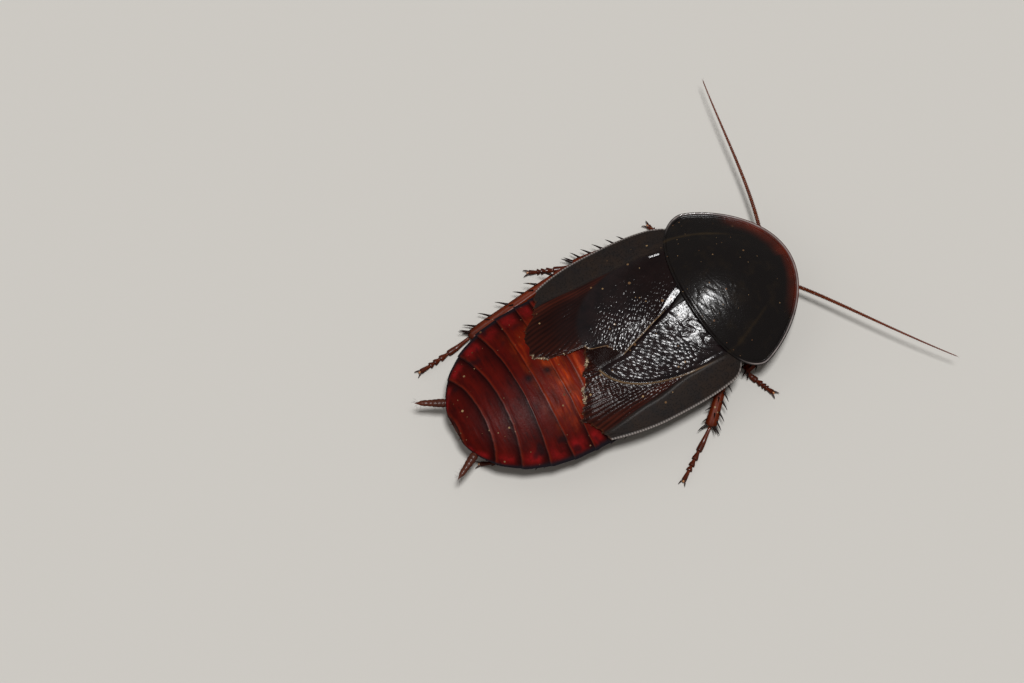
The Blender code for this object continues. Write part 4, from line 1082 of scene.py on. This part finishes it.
def wing_place(side):
    left = side == "left"
    sign = 1 if left else -1
    seed = 0.0 if left else 40.0
    finely = GRAINS_PER_MM[side]

    def across(u, y):
        inner = seam_x(y) if left else -RIGHT_INNER_X
        return sign * (inner + (wing_outer_x(y, side) - inner) * u)

    def place(u, v):
        # The point, between the shield and the torn edge, and how far it is from the wing's edges.
        u = clamp01(u + 0.06 * math.sin(2 * math.pi * u) / math.pi)
        start = 7.0
        for _ in range(6):
            start = (start + shield_rear_y(across(u, start)) - WING_TUCK) / 2
        ragged = 0.17 * cloud(u * 26, seed) + 0.1 * cloud(u * 75, seed + 3) + 0.06 * cloud(u * 190, seed + 6)
        end = read_curve(WORN_END[side], u) + ragged * ease(u, 0.0, 0.06) * ease(u, 1.0, 0.97)
        y = start + (end - start) * v
        x = across(u, y)
        out = abs(x)
        seam_gap = x - seam_x(y) if left else 9.0
        to_rim = wing_outer_x(y, side) - out
        torn_gap = end - y
        field_x = read_curve(FIELD_EDGE[side], y)
        oval = (out / FURROW_HALF_WIDTH) ** FURROW_SQUARENESS
        oval += (max(0.0, y - FURROW_Y) / FURROW_LENGTH) ** FURROW_SQUARENESS
        oval = oval ** (1 / FURROW_SQUARENESS)
        field = ease(out, field_x - 0.05, field_x + 0.07)

        # The zones: the disc inside the furrow's oval, the veins outside it, and the patterns that each has.
        covered = 0.0 if left else ease(x, seam_x(y) - 0.15, seam_x(y) + 0.05)
        lobe = 0.0 if left else ease(x, -1.7, -1.1) * ease(y, 12.7, 13.6)
        band_width = 0.46 - 0.3 * ease(y, 9.0, 10.4)
        band = ease(seam_gap, band_width + 0.05, band_width - 0.03) * ease(y, 10.9, 10.3)
        if not left:
            band = ease(x, -1.5, -0.8) * ease(y + x, 9.0, 8.2)
        inside = ease(oval, 1.0, 0.8 if left else 0.95) * (1 - covered) * (1 - lobe) * (1 - band)
        outside = (1 - field) * ease(oval, 0.99, 1.05)
        along, aside = 0.7 * (y - x * sign), 0.7 * (y + x * sign)
        wrinkled = 0.0 if left else ease(y + 0.3 * out, 10.9, 9.4)
        wrinkle = cloud(along * 0.6, aside * 1.9 + 0.5 * cloud(along, aside), seed)
        wrinkle = -max(0.0, 1 - 3.2 * abs(wrinkle))
        turn = math.atan2(out - VEIN_ROOT[0], y - VEIN_ROOT[1])
        away = math.hypot(out - VEIN_ROOT[0], y - VEIN_ROOT[1])
        fan = math.sin(turn * VEINS_PER_TURN + 1.8 * cloud(x * 0.8, y * 0.8, seed))
        grain_u, grain_v = turn * 36, away * 4.0
        if oval < 1:
            grain_u, grain_v = aside * finely, along * finely * GRAIN_STRETCH
        rib = out - field_x + 0.17
        ribbed = math.exp(-((rib / RIB_WIDTH) ** 4))
        if left:
            ribbed *= ease(y, 7.7, 7.95) * ease(y, 8.8, 8.5)
            grainy = 0.62 - 0.14 * ease(y, 11.0, 9.0) - 0.22 * ease(x, 1.6, 0.6) * ease(y, 10.0, 11.5)
            grainy = inside * grainy + 0.1 * outside * ease(oval, 1.03, 1.15)
        else:
            ribbed *= ease(y, 9.8, 9.0)
            grainy = 0.4 * outside * ease(y, 9.5, 11.5) * ease(oval, 1.3, 1.05)
            grainy += inside * (0.55 - 0.42 * wrinkled)
        grainy *= (1 - ribbed) * (0.9 + 0.6 * cloud(x * 0.8, y * 0.8, seed + 12))

        # The height: the dome and the overlap of the wings, kept under the shield, and then the fine relief.
        z = wing_dome(x, y)
        if left:
            z += LEFT_LIFT * ease(x, 3.0, 1.0)
            raised = ease(seam_gap, band_width + 0.08, band_width) * ease(y, 10.6, 10.0)
            z += (5.55 + 0.2 * (x - 0.8) - 0.07 * (y - 8.5) - z) * raised
        else:
            z -= RIGHT_DIP * ease(x, seam_x(y) - 0.32, seam_x(y) - 0.05)
            z -= 0.2 * ease(x, seam_x(y) - 0.2, seam_x(y) + 0.05) * ease(y, 11.0, 10.3)
        z += 0.02 * cloud(x * 1.1, y * 1.1, seed + 8) * (1 - field)
        z -= 0.2 * ease(y, 12.8, 16.0) * ease(out, 4.5, 2.5)
        z -= 0.12 * ease(y, 14.5, 17.0) * ease(out, 2.5, 5.5)
        z += ease(torn_gap, 0.6, 0.0) * (0.07 * cloud(x * 2.1, seed) - 0.05)
        rear = shield_rear_y(x)
        ceiling = shield_top(x, min(y, rear)) - SHIELD_REAR_WALL - 0.03 + 0.4 * max(0.0, y - rear)
        z = lesser(z, ceiling, 0.06)
        z += (inside + 0.5 * band) * wrinkled * WRINKLE_DEPTH * wrinkle
        z += outside * VEIN_RISE * fan * ease(y, 8.5, 11)
        if not left:
            z -= FURROW_DEPTH * hump(oval, 1.0, 0.013) * (1 - covered)
        z += rib * ribbed * RIB_SLOPE[side]
        z -= 0.035 * hump(out, field_x + 0.12, 0.08)
        z += RIM_RISE * hump(to_rim, 0.05, 0.05) * (0.75 + 0.25 * math.sin(y * RIM_BEAD_RATE))
        z += 0.035 * hump(seam_gap, 0.08, 0.06) * ease(y, 8.9, 9.6) * (0.8 + 0.35 * math.sin(y * 27))

        # The masks that colour it.
        # The rim's pale colour is partly a painted highlight along the edge, brightest where the beads rise.
        rim = ease(to_rim, 0.13, 0.06) * (0.6 + 0.4 * math.sin(y * RIM_BEAD_RATE))
        torn = ease(torn_gap, 0.12, 0.01) * clamp01(0.5 + 0.9 * cloud(x * 3, y * 3, seed + 2))
        torn *= ease(u, 0.0, 0.02)
        cream = sum(strength * hump(u, middle, width) for middle, width, strength in CREAM_SPOTS[side])
        cream *= ease(torn_gap, 0.2, 0.05) * ease(cloud(x * 3.5, y * 3.5, seed + 5), -0.15, 0.2)
        red = outside * (0.1 + 0.55 * hump(out, field_x - 0.3, 0.3)) * ease(y, 8.6, 11.0)
        red += outside * 0.3 * ease(torn_gap, 3.0, 0.4) + 0.06 * inside * ease(y, 10.0, 14.0)
        red *= 0.75 + 0.45 * fan + 0.5 * cloud(x * 2.2, y * 0.8, seed + 4)
        # The pale line along the right wing's furrow is partly its colour and partly a painted highlight on
        # the groove's edge. The seam's pale line and the tan rim of the left wing's notch are colour.
        line = 0.0 if left else hump(oval, 1.013, 0.007) * ease(y, 8.0, 9.5) * (1 - covered)
        line += ease(seam_gap, 0.08, 0.03) * ease(y, 9.3, 10.4)
        line *= 0.75 + 0.5 * cloud(y * 5, seed)
        if left:
            line += hump(u, *NOTCH) * ease(torn_gap, 0.14, 0.05)
        matt = max(lobe, outside * (1 - field) * (0.6 + 0.28 * ease(oval, 1.1, 1.3)))
        if left:
            matt = max(matt, 0.5 * inside * (1 - ribbed) * ease(y, 12.5, 9.5))
        shades = field, matt, clamp01(rim), torn, clamp01(red), clamp01(line), clamp01(cream)
        return Vector((x, y, z)), *shades, grainy, grain_u, grain_v

    return place


def wing_material():
    """Black leather with brown-red veins, a charcoal outer field, a pale rim that is partly a painted
    highlight, and brown and cream tears.
    """
    made, tree, shader = new_material("wing_leather")
    grain = put(tree, "ShaderNodeGroup", node_tree=SHELL_GRAIN)
    grain.inputs[0].default_value = 8.0
    grain.inputs[2].default_value = 1.7
    colour = mixed(tree, grain.outputs["Mottle"], (0.005, 0.0035, 0.0045), (0.013, 0.007, 0.0075))
    speckle = sums(tree, "MULTIPLY", grain.outputs["Pits"], grain.outputs["Mottle"])
    field = mixed(tree, grain.outputs["Pits"], (0.004, 0.0035, 0.0035), (0.017, 0.014, 0.0135))
    field = mixed(tree, sums(tree, "MULTIPLY", speckle, 0.45), field, (0.035, 0.02, 0.012))
    colour = mixed(tree, mask(tree, "field"), colour, field)
    colour = mixed(tree, mask(tree, "matt"), colour, (0.009, 0.0035, 0.003))
    colour = mixed(tree, mask(tree, "red"), colour, (0.055, 0.012, 0.007))
    # Pale tan lines. The furrow's is partly a painted highlight.
    colour = mixed(tree, mask(tree, "line"), colour, (0.24, 0.15, 0.075))
    # The rim's pale colour, partly a painted highlight.
    colour = mixed(tree, mask(tree, "rim"), colour, (0.33, 0.29, 0.27))
    torn = mixed(tree, grain.outputs["Fine"], (0.02, 0.006, 0.003), (0.12, 0.04, 0.016))
    colour = mixed(tree, mask(tree, "torn"), colour, torn)
    colour = mixed(tree, mask(tree, "cream"), colour, (0.55, 0.43, 0.28))
    colour = flecked(tree, grain, colour)
    tree.links.new(colour, shader.inputs["Base Color"])
    worn = sums(tree, "ADD", mask(tree, "torn"), mask(tree, "cream"))
    dull = sums(tree, "MAXIMUM", mask(tree, "field"), worn)
    tree.links.new(ranged(tree, dull, 0.0, 1.0, 0.21, 0.42), shader.inputs["Roughness"])
    lit = sums(tree, "SUBTRACT", 1.0, sums(tree, "MULTIPLY", mask(tree, "matt"), 0.97))
    shine = sums(tree, "MULTIPLY", ranged(tree, dull, 0.0, 1.0, 0.4, 0.12), lit)
    tree.links.new(shine, shader.inputs["Specular IOR Level"])
    place = put(tree, "ShaderNodeCombineXYZ", {0: mask(tree, "grain_u"), 1: mask(tree, "grain_v")}).outputs[0]
    cells = put(
        tree, "ShaderNodeTexVoronoi", {"Vector": place, "Scale": 1.0, "Smoothness": 0.08, "Randomness": 0.75},
        feature="SMOOTH_F1", voronoi_dimensions="2D",
    )
    hollow = sums(tree, "MULTIPLY", cells.outputs["Distance"], cells.outputs["Distance"])
    grained = sums(tree, "MULTIPLY", sums(tree, "SUBTRACT", 1.0, hollow), mask(tree, "grainy"))
    coarse = put(tree, "ShaderNodeBump", {"Height": grained, "Strength": 1.0, "Distance": GRAIN_DEPTH * MM})
    relief = sums(tree, "ADD", grain.outputs["Pits"], grain.outputs["Fine"])
    bump = put(tree, "ShaderNodeBump", {"Height": relief, "Strength": 0.5, "Distance": PIT_DEPTH * MM})
    tree.links.new(coarse.outputs[0], bump.inputs["Normal"])
    tree.links.new(bump.outputs[0], shader.inputs["Normal"])
    return made


WING_LEATHER = wing_material()
CREAM = WING_MASKS.index("cream")
for side in ("left", "right"):
    place = wing_place(side)
    wing_bm = warped_grid(150, 230, place, WING_MASKS)
    give_wall(wing_bm, lambda spot: WORN_WALL + (WING_WALL - WORN_WALL) * ease(spot.y, 16.0, 11.0))
    draw = random.Random(side)
    for _ in range(FRAY_COUNT):
        u = draw.uniform(0.05, 0.95)
        root, *shades = place(u, 0.995)
        outwards = root - place(u, 0.96)[0]
        outwards = outwards.normalized() + Vector([draw.uniform(-0.7, 0.7) for _ in range(3)])
        pale = shades[CREAM] * 0.9 if draw.random() < 0.7 else 0.3 * draw.random()
        shades = (0, 0, 0, 1, 0, 0, pale, 0, 0, 0)
        thread = bristle(root - UP * 0.02, outwards, draw.uniform(0.06, 0.24), 0.012, shades, WING_MASKS)
        join(wing_bm, thread)
    for middle, spread, count in CRUMBS[side]:
        for _ in range(count):
            root = place(clamp01(draw.gauss(middle, spread * 0.7)), 1.0)[0]
            crumb = bmesh.new()
            layers = [crumb.verts.layers.float.new(name) for name in WING_MASKS]
            bmesh.ops.create_icosphere(crumb, subdivisions=1, radius=draw.uniform(0.02, 0.055))
            for vert in crumb.verts:
                vert.co *= draw.uniform(0.7, 1.3)
                vert[layers[CREAM]] = draw.uniform(0.5, 1.0)
            shift = Vector((draw.uniform(-0.08, 0.08), draw.uniform(-0.12, 0.1), 0.0))
            bmesh.ops.translate(crumb, verts=crumb.verts[:], vec=root + shift)
            join(wing_bm, crumb)
    wing = shown(wing_bm, "forewing_" + side, WING_LEATHER)
    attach(wing, "root")
    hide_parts("tegmen_" + side)

# The scutellum, a small triangle of smooth black shell, grown in one with the thorax. It shows between the
# wing roots, just behind the shield.
SCUTELLUM_FRONT_Y, SCUTELLUM_TIP_Y = 7.5, 9.1
SCUTELLUM_HALF_WIDTH = 0.48
SCUTELLUM_MIDDLE, SCUTELLUM_SLANT = (0.12, 8.1), -0.36
SCUTELLUM_Z, SCUTELLUM_WALL = 5.47, 0.1


def scutellum_place(u, v):
    y = SCUTELLUM_FRONT_Y + (SCUTELLUM_TIP_Y - SCUTELLUM_FRONT_Y) * v
    half = SCUTELLUM_HALF_WIDTH * (1 - v) ** 0.9 + 0.01
    x = (2 * u - 1) * half + SCUTELLUM_MIDDLE[0] + SCUTELLUM_SLANT * (y - SCUTELLUM_MIDDLE[1])
    return Vector((x, y, SCUTELLUM_Z + 0.02 * v - 0.2 * (2 * u - 1) ** 2 * half)), 0.2


scutellum_shell = shell_material(
    "scutellum_shell", (0.006, 0.005, 0.005), (0.016, 0.011, 0.01), 0.24, flecks=False
)
scutellum_bm = give_wall(warped_grid(24, 30, scutellum_place, TINT), SCUTELLUM_WALL)
scutellum = shown(scutellum_bm, "scutellum", scutellum_shell)
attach(scutellum, "root")

# The head shield (pronotum), the thorax's broad domed front plate, which hides the head: near-black horny
# shell, finely pitted, with a clear red-brown band inside its front rim, a raised polished bead along the
# rim, whose pale crest is a painted highlight, and fine creases behind.
SHIELD_MASKS = ("tint", "edge", "margin")
SHIELD_CENTRE_Y, SHIELD_WALL = 4.6, 0.16
BEAD_HALF, BEAD_RISE, LEDGE = 0.08, 0.07, 0.24
DENTS, DENT_REACH = ((-1.0, 4.72, 0.036), (-0.76, 4.95, 0.03), (-1.25, 4.95, 0.026)), 0.11


def shield_place(u, v):
    # The point, on its way from the shield's middle to the rim, with the rings closer together at the rim.
    side = 1 if u < 0.5 else -1
    k = 2 * u if u < 0.5 else 2 * (1 - u)
    rim_y = SHIELD_LENGTH * (1 - math.cos(math.pi * k)) / 2
    rim = Vector((side * shield_half_width(rim_y), rim_y, 0))
    share = 1 - (1 - v) ** 1.6
    centre = Vector((0, SHIELD_CENTRE_Y, 0))
    spot = centre.lerp(rim, share)
    x, y = spot.x, spot.y
    to_rim = (1 - share) * (rim - centre).length
    front = ease(rim_y, 6.9, 5.6)

    # The height: a ledge and a bead along the front rim, a finer bead and a groove behind, creases and dents.
    z = shield_top(x, y)
    if to_rim < LEDGE:
        start = rim.lerp(centre, LEDGE / (rim - centre).length)
        z += 0.78 * front * (shield_top(start.x, start.y) - z)
    z += front * (BEAD_RISE * hump(to_rim, BEAD_HALF, BEAD_HALF) - 0.05 * hump(to_rim, LEDGE + 0.05, 0.08))
    z += (1 - front) * (0.05 * hump(to_rim, 0.07, 0.07) - 0.04 * hump(to_rim, 0.19, 0.035))
    z -= (1 - front) * 0.02 * hump(to_rim, 0.36, 0.03) * ease(abs(x), 3.5, 1.5)
    creased = hump(x, -1.4, 2.3) * ease(y, 5.0, 6.4) * ease(to_rim, 0.35, 0.7)
    crease = max(0.0, 1 - 5 * abs(cloud(x * 0.6 + y * 0.3, y * 1.5 - x * 0.35, 2.0)))
    crease += 0.6 * max(0.0, 1 - 5 * abs(cloud(x * 1.1 - y * 0.3, y * 2.6 - x * 0.4, 14.0)))
    z -= creased * (0.02 + 0.016 * cloud(x, y, 5.0)) * crease
    z += creased * hump(x, -2.1, 0.9) * 0.035 * cloud(x * 1.2, y * 3.4 - x * 0.9, 9.0)
    z += 0.018 * cloud(x * 0.8, y * 0.8, 11.0)
    for dent_x, dent_y, dent_rise in DENTS:
        z += dent_rise * hump(math.hypot(x - dent_x, y - dent_y), 0, DENT_REACH)

    # The masks: a paler line along each side, a painted sheen where the slope eases, stronger on the left;
    # the clear band in front; and the polished bead, whose pale crest is a painted highlight.
    # A painted sheen: a paler line where the dome's slope eases into the flange, stronger on the left.
    flank_sheen = abs(x) - 4.34 + 0.295 * max(0.0, 6.92 - y) ** 1.3
    flank_sheen = 0.75 * hump(flank_sheen, 0, 0.11) * ease(y, 2.6, 4.2) * (1.0 if x > 0 else 0.5)
    wide = 1.35 if x > 0 else 1.0
    margin = ease(to_rim, wide, 0.2) * ease(rim.x, 5.0, 3.6) * ease(rim.x, -4.3, -2.4) * ease(rim_y, 4.5, 2.6)
    margin *= 0.8 + 0.5 * cloud(x * 1.3, y * 1.3, 17.0)
    # The bead's pale crest is a painted highlight.
    edge = hump(to_rim, 0.1, 0.045) * front * (0.85 + 0.5 * cloud(x * 2.5, y * 2.5, 23.0))
    return Vector((x, y, z)), clamp01(flank_sheen), clamp01(edge), clamp01(margin)


def shield_wall(spot):
    return SHIELD_WALL + (SHIELD_REAR_WALL - SHIELD_WALL) * ease(spot.y, 5.8, 6.8)


shield_shell = shell_material(
    "shield_shell", (0.0045, 0.003, 0.003), (0.03, 0.018, 0.007), 0.25, pits=7.0, depth=0.011, coat=0.1,
    shine=0.34,
)
tree = shield_shell.node_tree
paint = tree.nodes["Principled BSDF"].inputs
colour = mixed(tree, mask(tree, "margin"), paint["Base Color"].links[0].from_socket, (0.1, 0.011, 0.003))
# A painted highlight: the pale colour on the bead's crest.
colour = mixed(tree, mask(tree, "edge"), colour, (0.28, 0.24, 0.23))
tree.links.new(colour, paint["Base Color"])
tree.links.new(ranged(tree, mask(tree, "edge"), 0.0, 1.0, 0.1, 1.0), paint["Coat Weight"])
shield_bm = close_up(warped_grid(300, 100, shield_place, SHIELD_MASKS))
shield = shown(give_wall(shield_bm, shield_wall), "shield", shield_shell)
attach(shield, "root")
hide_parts("pronotum")
